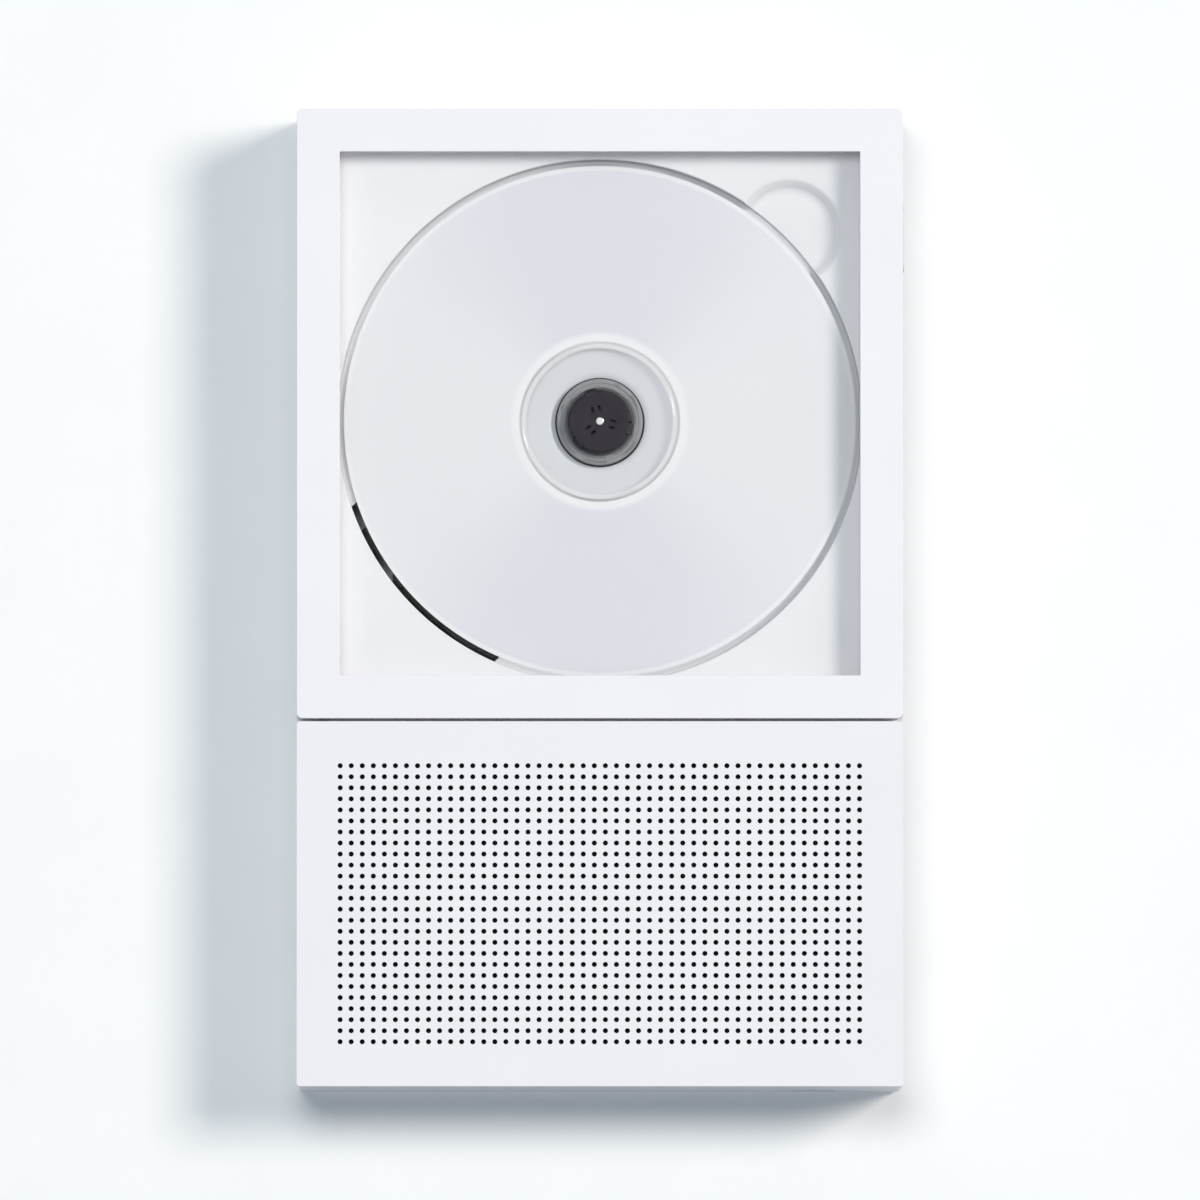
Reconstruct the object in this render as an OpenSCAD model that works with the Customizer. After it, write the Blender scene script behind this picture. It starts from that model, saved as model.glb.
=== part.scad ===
// Wall-mounted disc player: a hinged square lid with a clear window over a disc
// mechanism, and a speaker panel with round holes below it.
// Every piece is drawn lying on its back: x to the right, y up the wall and z
// out from the wall, and upright() stands it up with the wall plane at y = 0.

/* [Body] */
// Width of the body
body_w = 140; // [138:0.5:150]
// Height of the body
body_h = 226; // [224:1:240]
// Depth from the wall to the front face
body_d = 37; // [36:0.5:42]
// Radius of the body's corners, seen from the front
body_corner_r = 2; // [1:0.5:3]
// Radius of the rear cover's back edges
back_edge_r = 3; // [1.5:0.5:4]
// Thickness of the moulded side and back walls
wall_t = 2.2; // [1.8:0.1:2.6]
// Depth of the rear cover, up to the seam
rear_d = 13; // [12.6:0.1:13.6]

/* [Lid] */
// Height of the lid
lid_h = 141; // [140:0.5:146]
// Thickness of the lid
lid_t = 5; // [4.8:0.1:5.4]
// Gap between the lid and the speaker panel
panel_gap = 0.7; // [0.4:0.1:1.2]
// Gap between the closed lid and the rim it closes on
lid_seat_gap = 0.3; // [0.2:0.05:0.5]
// Radius of the lid's and the speaker panel's corners
panel_corner_r = 1.4; // [1:0.1:2]
// Rounding of their front edges
panel_edge_r = 0.7; // [0.4:0.1:0.9]
// Width of the lid's border at the sides, the top and the bottom
lid_border = 9.9; // [9.5:0.1:11]
// Radius of the window's corners
window_corner_r = 0.8; // [0.5:0.1:2]
// Thickness of the clear window
window_t = 1.5; // [1:0.1:2]
// Depth of the window below the front face
window_inset = 1.8; // [1.4:0.1:2]
// Width of the step that the window is bonded to
window_ledge = 2; // [1.5:0.1:3]

/* [Hinge and catch] */
// Hinge axis, from the left side of the body
hinge_inset = 2.2; // [2.1:0.05:2.4]
// Hinge axis, in front of the lid's back face
hinge_lift = 1.9; // [1.8:0.05:2]
// Radius of the hinge pins
hinge_pin_r = 0.75; // [0.6:0.05:0.8]
// Clearance round a hinge pin in the lid
hinge_fit = 0.05; // [0.02:0.01:0.1]
// Radius of the hinge ears
hinge_ear_r = 1.4; // [1.3:0.05:1.5]
// Length of a hinge ear along its pin
hinge_ear_l = 4; // [3:0.5:6]
// Length of a hinge pin
hinge_pin_l = 14; // [12:0.5:18]
// Distance from the lid's ends to the middle of each ear
hinge_end = 14; // [12:0.5:20]
// Length of the catch magnet
catch_l = 14; // [10:1:20]

/* [Speaker panel] */
// Least border round the field of holes
hole_margin = 8.6; // [8.4:0.1:12]
// Distance between hole centres
hole_pitch = 2.55; // [2.4:0.05:2.55]
// Diameter of a hole
hole_d = 1.2; // [1:0.1:1.5]
// Thickness of the perforated face
grille_t = 2; // [1.5:0.1:2]
// Thickness of the panel's skirt
skirt_t = 1.6; // [1.2:0.1:2]
// Thickness of the black cloth behind the holes
cloth_t = 0.4; // [0.3:0.1:0.5]

/* [Disc bay] */
// Diameter of the disc
disc_d = 120; // [120:120]
// Thickness of the disc
disc_t = 1.2; // [1.1:0.1:1.3]
// Diameter of the disc's centre hole
disc_hole_d = 15; // [15:15]
// Distance of the disc's centre below the middle of the lid
disc_drop = 1.4; // [0.9:0.1:1.9]
// Clearance between the disc's edge and its well
well_clear = 0.7; // [0.5:0.1:1]
// Depth of the disc's back face below the white floor
disc_sink = 1.6; // [1.4:0.1:1.8]
// Depth of the white floor below the lid's rim
floor_drop = 3.5; // [3.2:0.1:3.7]
// Thickness of the deck moulding
deck_t = 1.8; // [1.5:0.1:1.9]
// Radius of the scoop for a thumb at the disc's edge
thumb_r = 12.5; // [10:0.5:14]
// Distance from the disc's centre to the middle of the scoop
thumb_reach = 61.8; // [58:0.2:63]
// Angle of the scoop, from the right
thumb_angle = 45; // [40:1:50]

/* [Mechanism] */
// Direction in which the pickup travels outwards
travel_angle = 222.5; // [218:0.5:226]
// Width of the slot in the deck over the pickup
slot_w = 48.8; // [46:0.2:50]
// Radius of the pickup lens from the spindle at its inner stop
lens_in = 24; // [24:0.5:25]
// Radius at its outer stop
lens_out = 58; // [54:0.5:58]
// Radius of the turntable
table_r = 10; // [9.5:0.1:10.4]
// Radius of the spindle motor
spindle_motor_r = 11; // [10:0.5:11]
// Radius of the spindle shaft
shaft_r = 1; // [0.8:0.1:1.2]
// Distance of each guide rod from the lens's path
rod_offset = 15; // [14.6:0.1:15.4]
// Radius of a guide rod
rod_r = 1.5; // [1.2:0.1:1.6]
// Radius of the feed screw
screw_r = 1.5; // [1.2:0.1:1.5]
// Distance of the feed screw from the lens's path
screw_offset = 22.4; // [22.2:0.1:22.8]

/* [Speakers] */
// Distance of each driver from the middle
driver_x = 33.5; // [32:0.5:34]
// Outer radius of a driver's flange
driver_r = 28; // [26.5:0.5:28]
// Thickness of the driver's flange
flange_t = 1.5; // [1:0.1:1.6]
// Depth of a driver behind its flange
driver_d = 18.3; // [16:0.1:18.5]
// Thickness of the baffle
baffle_t = 2; // [1.6:0.1:2.4]

/* [Keys] */
// Length of a key on the top
key_l = 13; // [10:0.5:14]
// Width of a key on the top and of the power key
key_w = 5; // [4:0.5:6]
// Distance between the top keys
key_pitch = 18; // [17:0.5:20]
// Length of the power key on the right side
power_l = 15.2; // [12:0.2:18]
// Distance of the power key's middle below the top
power_drop = 29.4; // [27:0.2:33]
// How far a top key stands out of the body
key_proud = 0.8; // [0.6:0.1:1]
// How far the power key stands out of the body
power_proud = 0.4; // [0.3:0.05:0.6]
// Travel of a key
key_travel = 0.5; // [0.3:0.1:0.5]
// Gap round a key
key_gap = 0.25; // [0.2:0.05:0.4]
// Distance of the keys' middle behind the front face
key_depth = 15; // [14.5:0.5:16]

/* [Sockets] */
// Distance of the charging socket from the right side
usb_inset = 20.4; // [18:0.2:24]
// Distance of the headphone socket above the bottom
jack_rise = 33; // [29:1:37]
// Radius of the headphone socket's bore
jack_bore_r = 1.8; // [1.75:0.05:1.9]

/* [Wall bracket] */
// Width of the steel wall bracket
bracket_w = 92; // [88:1:94]
// Height of the bracket
bracket_h = 22; // [20:1:24]
// Thickness of its steel
bracket_t = 1.2; // [1:0.1:1.5]
// Distance of its middle below the top
bracket_drop = 29; // [27:0.5:31]
// Distance between its two screw holes
bracket_spacing = 60; // [50:1:64]
// Diameter of its screw holes
bracket_hole_d = 4.4; // [4:0.1:5]

/* [Hidden] */
$fn = 48;
// A cut runs this far past the face that it opens
past = 1;
// A pin or screw sits in its own bore with this much room round it
snug = 0.02;
top_y = body_h / 2;
side_x = body_w / 2;
lid_y = top_y - lid_h / 2;
lid_low_y = top_y - lid_h;
panel_h = body_h - lid_h - panel_gap;
panel_y = -top_y + panel_h / 2;
lid_back_z = body_d - lid_t;
rim_z = lid_back_z - lid_seat_gap;
inner_w = body_w - 2 * wall_t;
inner_h = body_h - 2 * wall_t;
seam_y = lid_low_y - panel_gap / 2;
power_y = top_y - power_drop;
key_z = body_d - key_depth;
usb_x = side_x - usb_inset;
jack_y = -top_y + jack_rise;
bracket_y = top_y - bracket_drop;
disc_y = lid_y - disc_drop;
window_w = body_w - 2 * lid_border;
window_h = lid_h - 2 * lid_border;
window_z = body_d - window_inset;
hinge_x = -side_x + hinge_inset;
hinge_z = lid_back_z + hinge_lift;
hinge_ys = [top_y - hinge_end, lid_low_y + hinge_end];
hinge_relief = 1;
hinge_pocket = hinge_ear_l + 2;
catch_x = side_x - wall_t - 2.5;
catch_magnet_t = 1.6;
catch_plate_t = 0.8;
scoop_r = 20;
scoop_depth = 1.2;
well_r = disc_d / 2 + well_clear;
clear_r = 21.4;
floor_z = rim_z - floor_drop;
disc_z = floor_z - disc_sink;
well_floor_z = disc_z - 1.8;
pad_t = 0.4;
hub_top_z = disc_z + 3.2;
claw_angles = [107, 225, 346];
bay_x = well_r + 0.9;
bay_low = disc_y - well_r - 1.3;
bay_top = top_y - lid_border + 0.6;
lip_t = 1.2;
flange_back_z = rim_z - 2.4;
boss_r = 3;
boss_x = side_x - wall_t - 2.6;
boss_top_y = top_y - wall_t - 2.6;
boss_ys = [boss_top_y, seam_y, -boss_top_y];
case_hole_r = 1;
case_seat_z = 9;
case_head_t = 1.4;
case_screw_l = 15;
case_hole_l = case_seat_z + case_screw_l + 1 - rear_d;
small_head_r = 1.6;
small_head_t = 1.2;
small_screw_r = 0.75;
small_bore_r = small_screw_r + 0.05;
small_free_r = small_screw_r + 0.15;
deck_bite = 2;
baffle_bite = 5;
board_bite = 2.6;
key_bite = 2.8;
deck_screw_x = side_x - wall_t - 2.5;
deck_screw_ys = [disc_y + 19, disc_y - 41];
baffle_z = rim_z - baffle_t;
baffle_low = -top_y + wall_t + 0.3;
baffle_top = seam_y - 1.3;
baffle_screw_x = side_x - wall_t - 2.6;
baffle_screw_ys = [baffle_top - 6, baffle_low + 10];
hole_columns = floor((body_w - 2 * hole_margin) / hole_pitch);
hole_rows = floor((panel_h - 2 * hole_margin) / hole_pitch);
peg_x = side_x - 30;
peg_reach = panel_h / 2 - 5.75;
peg_r = 1.5;
flange_z = rim_z + flange_t;
driver_screw_r = driver_r - 1.9;
magnet_z = rim_z - driver_d;
basket_z = magnet_z + 8.6;
plate_z = disc_z - 8.6;
plate_t = 1.6;
dampers = [[-14, -23], [-14, 24], [44, -26], [44, 30.5]];
damper_low_z = plate_z - 1.8;
damper_top_z = plate_z + plate_t + 2;
carriage_in = 9.5;
carriage_out = 6.5;
carriage_back_z = plate_z - 5.5;
carriage_top_z = well_floor_z - 2.4;
barrel_top_z = well_floor_z + 0.2;
rod_ends = [3.5, 65.2];
barrel_r = 2.3;
rod_end_l = 1.6;
motor_front = 6.2;
feed_bearings = [[motor_front, 1.2], [rod_ends[1] - rod_end_l, 2 * rod_end_l]];
rod_z = plate_z - rod_r - 0.3;
screw_z = plate_z - 4.4;
board_z = 5.6;
board_t = 1.6;
board_x = [-48, 40];
board_y = [lid_low_y + 10, lid_low_y + 86];
charge_x = [usb_x - 13.6, boss_x - boss_r - 0.7];
charge_y = [-top_y + wall_t + 0.3, jack_y + 8];
battery_pos = [-12, -top_y + 29];
battery_size = [60, 34];
battery_t = 5.2;
charge_posts = [[charge_x[0] + 3.6, charge_y[1] - 3.6], [charge_x[0] + 15, charge_y[1] - 3.6],
    [charge_x[0] + 3.6, charge_y[1] - 29]];
standoff_r = 2.4;
// Chips and connectors from the board's lower left corner: centre, size and height
chips = [[26, 48, 14, 14, 1.6], [54, 52, 10, 10, 1.4], [42, 24, 9, 12, 1.5], [74, 28, 8, 6, 1.8],
    [10, 20, 6, 18, 2], [72, 62, 16, 5, 2]];
capacitors = [[10, 48], [10, 58], [58, 32], [68, 44], [28, 28]];
key_xs = [for (i = [-2:2]) i * key_pitch];
key_flange_t = 1;
key_flange_gap = 0.4;
switch_t = 2.2;
plunger_t = 0.45;
plunger_gap = 0.05;
key_inset = key_flange_gap + key_flange_t;
key_board_y = inner_h / 2 - key_inset - key_travel - plunger_gap - plunger_t - switch_t;
key_board_t = 1.2;
key_board_post_x = 2 * key_pitch + 14;
power_board_x = inner_w / 2 - key_inset - key_travel - plunger_gap - plunger_t - switch_t;
power_board_l = 24;
pocket_w = bracket_w + 6;
pocket_h = bracket_h + 8;
pocket_z = 3.2;
tab_x = bracket_w / 2 - 4;
tab_w = 8;
tab_y = bracket_y + bracket_h / 2 - 3.8;
jack_z = board_z + board_t + 2.3;
usb_w = 8.94;
usb_t = 3.26;
usb_l = 7.4;
usb_z = board_z + board_t + usb_t / 2;

// Stands a piece that was drawn lying on its back up against the wall
module upright() {
  rotate([90, 0, 0]) children();
}

// Moves to a driver's centre: side is -1 on the left and 1 on the right
module at_driver(side) {
  translate([side * driver_x, panel_y, 0]) children();
}

// The disc mechanism's own frame: x runs outwards along the pickup's path
module at_mechanism() {
  translate([0, disc_y, 0]) rotate([0, 0, travel_angle]) children();
}

// A rectangle with round corners
module rounded(w, h, r) {
  square([w - 2 * r, h], center = true);
  square([w, h - 2 * r], center = true);
  for (x = [-1, 1], y = [-1, 1])
    translate([x * (w / 2 - r), y * (h / 2 - r)]) circle(r);
}

// A slot with round ends, along x
module stadium(l, w) {
  square([l - w, w], center = true);
  for (x = [-1, 1]) translate([x * (l - w) / 2, 0]) circle(w / 2);
}

// A box between two corners
module span(from, to) {
  translate(from) cube(to - from);
}

// The section across a plate of width w and thickness t, with its top edges rounded by e
module edge_section(w, t, e) {
  translate([-w / 2, -past]) square([w, t - e + past]);
  translate([-w / 2 + e, -past]) square([w - 2 * e, t + past]);
  for (x = [-1, 1]) translate([x * (w / 2 - e), t - e]) circle(e);
}

// A plate on z = 0 with its corners rounded by r and its top edges by e
module soft_plate(w, h, t, r, e) {
  intersection() {
    linear_extrude(t) rounded(w, h, r);
    rotate([90, 0, 0]) linear_extrude(h + 2 * past, center = true) edge_section(w, t, e);
    rotate([90, 0, 90]) linear_extrude(w + 2 * past, center = true) edge_section(h, t, e);
  }
}

// A screw with its head down at z = 0 and its point up
module screw(head_r, head_t, r, l) {
  cylinder(r = head_r, h = head_t);
  translate([0, 0, head_t]) cylinder(r = r, h = l);
}

module at_bosses() {
  for (x = [-boss_x, boss_x], y = boss_ys) translate([x, y, 0]) children();
}

// The lid's parts

module lid_section() {
  edge = panel_edge_r;
  back = hinge_lift;
  translate([-side_x, back]) square([body_w, lid_t - edge - back]);
  translate([-side_x + back, 0]) square([body_w - back, lid_t - edge]);
  translate([-side_x + edge, back]) square([body_w - 2 * edge, lid_t - back]);
  for (x = [-1, 1]) translate([x * (side_x - edge), lid_t - edge]) circle(edge);
  translate([-side_x + back, back]) circle(back);
}

module lid_frame() color("white") upright() {
  difference() {
    translate([0, lid_y, lid_back_z]) intersection() {
      linear_extrude(lid_t) rounded(body_w, lid_h, panel_corner_r);
      rotate([90, 0, 0]) linear_extrude(lid_h + 2 * past, center = true) lid_section();
      rotate([90, 0, 90]) linear_extrude(body_w + 2 * past, center = true)
        edge_section(lid_h, lid_t, panel_edge_r);
    }
    translate([0, lid_y, lid_back_z - past]) linear_extrude(lid_t + 2 * past)
      rounded(window_w, window_h, window_corner_r);
    translate([0, lid_y, lid_back_z - past]) linear_extrude(lid_t - window_inset + past)
      rounded(window_w + 2 * window_ledge, window_h + 2 * window_ledge, 1);
    for (y = hinge_ys)
      span([-side_x - past, y - hinge_pocket / 2, lid_back_z - past],
        [hinge_x + hinge_lift, y + hinge_pocket / 2, hinge_z + hinge_inset]);
    lid_bores();
    catch_shape(lid_back_z - past, lid_back_z + catch_plate_t, 4);
  }
}

// The lid's bores for its pins, open at its ends so that the pins can be pushed in
module lid_bores() {
  l = hinge_end + hinge_pin_l / 2 + 1;
  translate([hinge_x, lid_y, hinge_z]) for (end = [0, 1]) mirror([0, end, 0])
    translate([0, lid_h / 2 - l, 0]) rotate([-90, 0, 0])
      cylinder(r = hinge_pin_r + hinge_fit, h = l + past);
}

// The room of both hinge pins
module hinge_bore(r, l) {
  for (y = hinge_ys)
    translate([hinge_x, y, hinge_z]) rotate([90, 0, 0]) cylinder(r = r, h = l, center = true);
}

module hinge_pins() color("silver") upright() hinge_bore(hinge_pin_r, hinge_pin_l);

module lid_window() color("lightcyan") upright()
  translate([0, lid_y, window_z - window_t]) linear_extrude(window_t)
    rounded(window_w + 2 * window_ledge - 0.3, window_h + 2 * window_ledge - 0.3, 1);

// The magnet and the plate that holds the lid shut face each other at the right edge
module catch_shape(low, high, w) {
  span([catch_x - w / 2, lid_y - catch_l / 2, low],
    [catch_x + w / 2, lid_y + catch_l / 2, high]);
}

module catch_magnet() color("dimgray") upright() catch_shape(rim_z - catch_magnet_t, rim_z, 3);

module catch_plate() color("silver") upright() catch_shape(lid_back_z, lid_back_z + catch_plate_t, 4);

// The housing

// The rim that the lid closes on: a flange with a lip round the disc bay
module lid_rim() {
  difference() {
    union() {
      span([-inner_w / 2, seam_y, flange_back_z], [inner_w / 2, inner_h / 2, rim_z]);
      span([-bay_x - lip_t, bay_low - lip_t, floor_z], [bay_x + lip_t, bay_top + lip_t, rim_z]);
      for (x = [-deck_screw_x, deck_screw_x], y = deck_screw_ys)
        translate([x, y, floor_z]) cylinder(r = 2.7, h = flange_back_z - floor_z);
      span([catch_x - 3, lid_y - catch_l / 2 - 1.5, floor_z],
        [inner_w / 2, lid_y + catch_l / 2 + 1.5, flange_back_z]);
    }
    span([-bay_x, bay_low, floor_z - past], [bay_x, bay_top, rim_z + past]);
  }
}

// The step round the speaker chamber that the baffle rests on
module baffle_ledge() {
  step = 1.6;
  difference() {
    span([-inner_w / 2, -inner_h / 2, baffle_z - 1.5], [inner_w / 2, seam_y, baffle_z]);
    span([-inner_w / 2 + step, -inner_h / 2 + step, baffle_z - 3],
      [inner_w / 2 - step, seam_y - 1 - step, baffle_z + past]);
  }
}

// Two ears reach into the back of the lid and carry its pins
module hinge_ears() {
  foot_z = rim_z - hinge_relief - 1;
  for (y = hinge_ys) {
    span([hinge_x - hinge_ear_r, y - hinge_ear_l / 2, foot_z],
      [hinge_x + hinge_ear_r, y + hinge_ear_l / 2, hinge_z]);
    translate([hinge_x, y, hinge_z]) rotate([90, 0, 0])
      cylinder(r = hinge_ear_r, h = hinge_ear_l, center = true);
  }
}

module at_key_posts() {
  for (x = [-key_board_post_x, key_board_post_x])
    translate([x, key_board_y, key_z]) rotate([-90, 0, 0]) children();
}

module at_deck_screws() {
  for (x = [-deck_screw_x, deck_screw_x], y = deck_screw_ys) translate([x, y, 0]) children();
}

module at_baffle_screws() {
  for (x = [-baffle_screw_x, baffle_screw_x], y = baffle_screw_ys)
    translate([x, y, 0]) children();
}

// The ribs that hold the power key's board by its ends
module power_board_ribs() {
  for (y = [power_y - power_board_l / 2, power_y + power_board_l / 2])
    span([power_board_x - key_board_t - 1.2, y - 0.8, key_z - 5], [inner_w / 2, y + 0.8, key_z + 4.2]);
}

module frame_walls() {
  difference() {
    translate([0, 0, rear_d]) linear_extrude(rim_z - rear_d)
      rounded(body_w, body_h, body_corner_r);
    translate([0, 0, rear_d - past]) linear_extrude(rim_z - rear_d + 2 * past)
      square([inner_w, inner_h], center = true);
  }
}

module mid_frame() color("white") upright() {
  difference() {
    union() {
      difference() {
        union() {
          frame_walls();
          span([-inner_w / 2, seam_y - 1, rear_d], [inner_w / 2, seam_y + 1, rim_z]);
          lid_rim();
        }
        span([-side_x - past, seam_y, rim_z - hinge_relief],
          [-bay_x - lip_t, top_y + past, body_d]);
      }
      baffle_ledge();
      at_bosses() translate([0, 0, rear_d]) cylinder(r = boss_r, h = flange_back_z - rear_d);
      at_baffle_screws() translate([0, 0, baffle_z - baffle_bite - 2])
        cylinder(r = boss_r, h = baffle_bite + 2);
      at_key_posts() cylinder(r = standoff_r, h = inner_h / 2 - key_board_y + wall_t / 2);
      hinge_ears();
      power_board_ribs();
    }
    at_bosses() translate([0, 0, rear_d - past]) cylinder(r = case_hole_r, h = case_hole_l + past);
    at_deck_screws() translate([0, 0, floor_z - past])
      cylinder(r = small_bore_r, h = deck_bite + 0.4 + past);
    at_baffle_screws() translate([0, 0, baffle_z - baffle_bite - 1])
      cylinder(r = small_bore_r, h = baffle_bite + 1 + past);
    at_key_posts() translate([0, 0, -past]) cylinder(r = small_bore_r, h = key_bite + 1.2 + past);
    hinge_bore(hinge_pin_r + snug, hinge_pin_l);
    catch_shape(rim_z - catch_magnet_t - snug, rim_z + past, 3 + 2 * snug);
    for (x = key_xs) translate([x, top_y, key_z]) rotate([90, 0, 0])
      linear_extrude(2 * wall_t + past, center = true)
        stadium(key_l + 2 * key_gap, key_w + 2 * key_gap);
    translate([side_x, power_y, key_z]) rotate([90, 0, 90])
      linear_extrude(2 * wall_t + past, center = true)
        stadium(power_l + 2 * key_gap, key_w + 2 * key_gap);
    span([power_board_x - key_board_t - snug, power_y - power_board_l / 2 - 0.1, key_z - 5 - past],
      [power_board_x + snug, power_y + power_board_l / 2 + 0.1, key_z + 4.2 + past]);
    translate([side_x + scoop_r - scoop_depth, lid_y, rim_z - 4.5]) cylinder(r = scoop_r, h = 6, $fn = 96);
  }
}

module at_board_screws() {
  inset = 3.5;
  for (x = [board_x[0] + inset, board_x[1] - inset], y = [board_y[0] + inset, board_y[1] - inset])
    translate([x, y, 0]) children();
  for (p = charge_posts) translate([p[0], p[1], 0]) children();
}

// The thin wall on the rear cover's edge that slides into the mid frame
module tongue() {
  room = 0.15;
  difference() {
    translate([0, 0, rear_d - 3]) linear_extrude(4.6) difference() {
      square([inner_w - 2 * room, inner_h - 2 * room], center = true);
      square([inner_w - 2 * room - 2.2, inner_h - 2 * room - 2.2], center = true);
    }
    at_bosses() translate([0, 0, rear_d]) cylinder(r = boss_r + 0.3, h = 3);
    span([-side_x, seam_y - 1.3, rear_d], [side_x, seam_y + 1.3, rear_d + 3]);
    span([usb_x - 6, -top_y, wall_t], [usb_x + 6, -top_y + 6, rear_d]);
    span([side_x - 6, jack_y - 4, wall_t], [side_x, jack_y + 4, rear_d]);
  }
}

module bracket_slots() {
  for (x = [-tab_x, tab_x])
    span([x - tab_w / 2 - 0.5, tab_y + bracket_t - 4.3, -past],
      [x + tab_w / 2 + 0.5, tab_y + bracket_t, pocket_z + 3]);
}

module rear_cover() color("whitesmoke") upright() {
  floor_t = 1.6;
  difference() {
    union() {
      difference() {
        translate([0, 0, rear_d]) mirror([0, 0, 1])
          soft_plate(body_w, body_h, rear_d, body_corner_r, back_edge_r);
        span([-inner_w / 2, -inner_h / 2, wall_t], [inner_w / 2, inner_h / 2, rear_d + past]);
      }
      tongue();
      span([-inner_w / 2, seam_y - 1, wall_t / 2], [inner_w / 2, seam_y + 1, rear_d]);
      at_bosses() translate([0, 0, wall_t / 2]) cylinder(r = boss_r, h = rear_d - wall_t / 2);
      at_board_screws() translate([0, 0, wall_t / 2])
        cylinder(r = standoff_r, h = board_z - wall_t / 2);
      span([-pocket_w / 2 - floor_t, bracket_y - pocket_h / 2 - floor_t, wall_t / 2],
        [pocket_w / 2 + floor_t, bracket_y + pocket_h / 2 + floor_t, pocket_z + floor_t]);
      battery_walls();
    }
    span([-pocket_w / 2, bracket_y - pocket_h / 2, -past],
      [pocket_w / 2, bracket_y + pocket_h / 2, pocket_z]);
    bracket_slots();
    at_bosses() translate([0, 0, -past]) cylinder(r = 2.1, h = case_seat_z + past);
    at_bosses() cylinder(r = 1.15, h = rear_d + past);
    at_board_screws() translate([0, 0, board_z - board_bite - 0.4])
      cylinder(r = small_bore_r, h = board_z);
    translate([usb_x, -top_y, usb_z]) rotate([90, 0, 0])
      linear_extrude(2 * wall_t + past, center = true) stadium(usb_w + 0.7, usb_t + 0.7);
    translate([side_x, jack_y, jack_z]) rotate([0, 90, 0])
      cylinder(r = 2.7, h = 2 * wall_t + past, center = true);
    for (x = [-32:8:32]) translate([x, panel_y + 24, -past]) linear_extrude(wall_t + 2 * past)
      rotate([0, 0, 90]) stadium(16, 1.6);
  }
}

// The battery lies between two low walls on the rear cover
module battery_walls() {
  for (x = [-1, 1])
    translate([battery_pos[0] + x * (battery_size[0] / 2 + 0.9), battery_pos[1], wall_t / 2])
      linear_extrude(5) square([1.2, battery_size[1] - 8], center = true);
}

module battery() color("silver") upright()
  translate([battery_pos[0], battery_pos[1], wall_t]) linear_extrude(battery_t)
    rounded(battery_size[0], battery_size[1], 2);

// The screws point away from the wall, and each group of like ones is one piece
module case_screws() color("gray") upright()
  at_bosses() translate([0, 0, case_seat_z - case_head_t])
    screw(1.9, case_head_t, case_hole_r - 0.05, case_screw_l);

module deck_screws() color("gray") upright()
  at_deck_screws() translate([0, 0, floor_z - deck_t - small_head_t])
    screw(small_head_r, small_head_t, small_screw_r, deck_t + deck_bite);

module baffle_screws() color("gray") upright()
  at_baffle_screws() translate([0, 0, rim_z + small_head_t]) mirror([0, 0, 1])
    screw(small_head_r, small_head_t, small_screw_r, baffle_t + baffle_bite);

module board_screws() color("gray") upright() {
  at_board_screws() translate([0, 0, board_z + board_t + small_head_t]) mirror([0, 0, 1])
    screw(small_head_r, small_head_t, small_screw_r, board_t + board_bite);
  for (x = [-key_board_post_x, key_board_post_x])
    translate([x, key_board_y - key_board_t - small_head_t, key_z]) rotate([-90, 0, 0])
      screw(small_head_r, small_head_t, small_screw_r, key_board_t + key_bite);
}

// The deck behind the disc

module deck_outline() {
  low = bay_low - lip_t - 2.5;
  high = boss_top_y - boss_r - 0.6;
  translate([-inner_w / 2 + 1.8, low]) square([inner_w - 3.6, high - low]);
  translate([-bay_x + 2, low]) square([2 * bay_x - 4, high + 1.4 - low]);
}

module disc_deck() color("white") upright() {
  well_back_z = well_floor_z - deck_t;
  dish = 2.6;
  dish_r = (thumb_r * thumb_r + dish * dish) / (2 * dish);
  thumb = [thumb_reach * cos(thumb_angle), disc_y + thumb_reach * sin(thumb_angle)];
  difference() {
    union() {
      translate([0, 0, floor_z - deck_t]) linear_extrude(deck_t) deck_outline();
      translate([0, disc_y, well_back_z])
        cylinder(r = well_r + 1.6, h = floor_z - deck_t / 2 - well_back_z, $fn = 180);
      translate([thumb[0], thumb[1], well_back_z])
        cylinder(r = thumb_r + 1.2, h = floor_z - deck_t / 2 - well_back_z);
      at_mechanism() for (p = dampers)
        translate([p[0], p[1], damper_top_z]) cylinder(r = 3.2, h = well_floor_z - 1 - damper_top_z);
    }
    translate([0, disc_y, well_floor_z]) cylinder(r = well_r, h = 10, $fn = 180);
    translate([0, disc_y, well_back_z - past]) cylinder(r = table_r + 0.8, h = 5);
    translate([0, disc_y, well_floor_z - 1])
      cylinder(r1 = table_r + 0.8, r2 = table_r + 2.2, h = 1.02);
    translate([thumb[0], thumb[1], floor_z + dish_r - dish]) sphere(r = dish_r, $fn = 120);
    difference() {
      at_mechanism() span([clear_r - 7, -slot_w / 2, well_back_z - past],
        [well_r + 3.3, slot_w / 2, floor_z - deck_t - 0.1]);
      translate([0, disc_y, 0]) cylinder(r = clear_r, h = floor_z, $fn = 120);
    }
    at_mechanism() for (p = dampers)
      translate([p[0], p[1], damper_top_z - past]) cylinder(r = 0.85, h = 2.4 + past);
    at_deck_screws() translate([0, 0, floor_z - deck_t - past])
      cylinder(r = small_free_r, h = deck_t + 2 * past);
  }
}

// The disc and what turns with it

module at_spindle() {
  translate([0, disc_y, 0]) children();
}

module disc() color("gainsboro") upright() at_spindle() {
  rotate_extrude($fn = 180) {
    translate([disc_hole_d / 2, disc_z]) square([(disc_d - disc_hole_d) / 2, disc_t]);
    translate([17.2, disc_z - 0.2]) square([0.7, 0.4]);
  }
}

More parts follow.
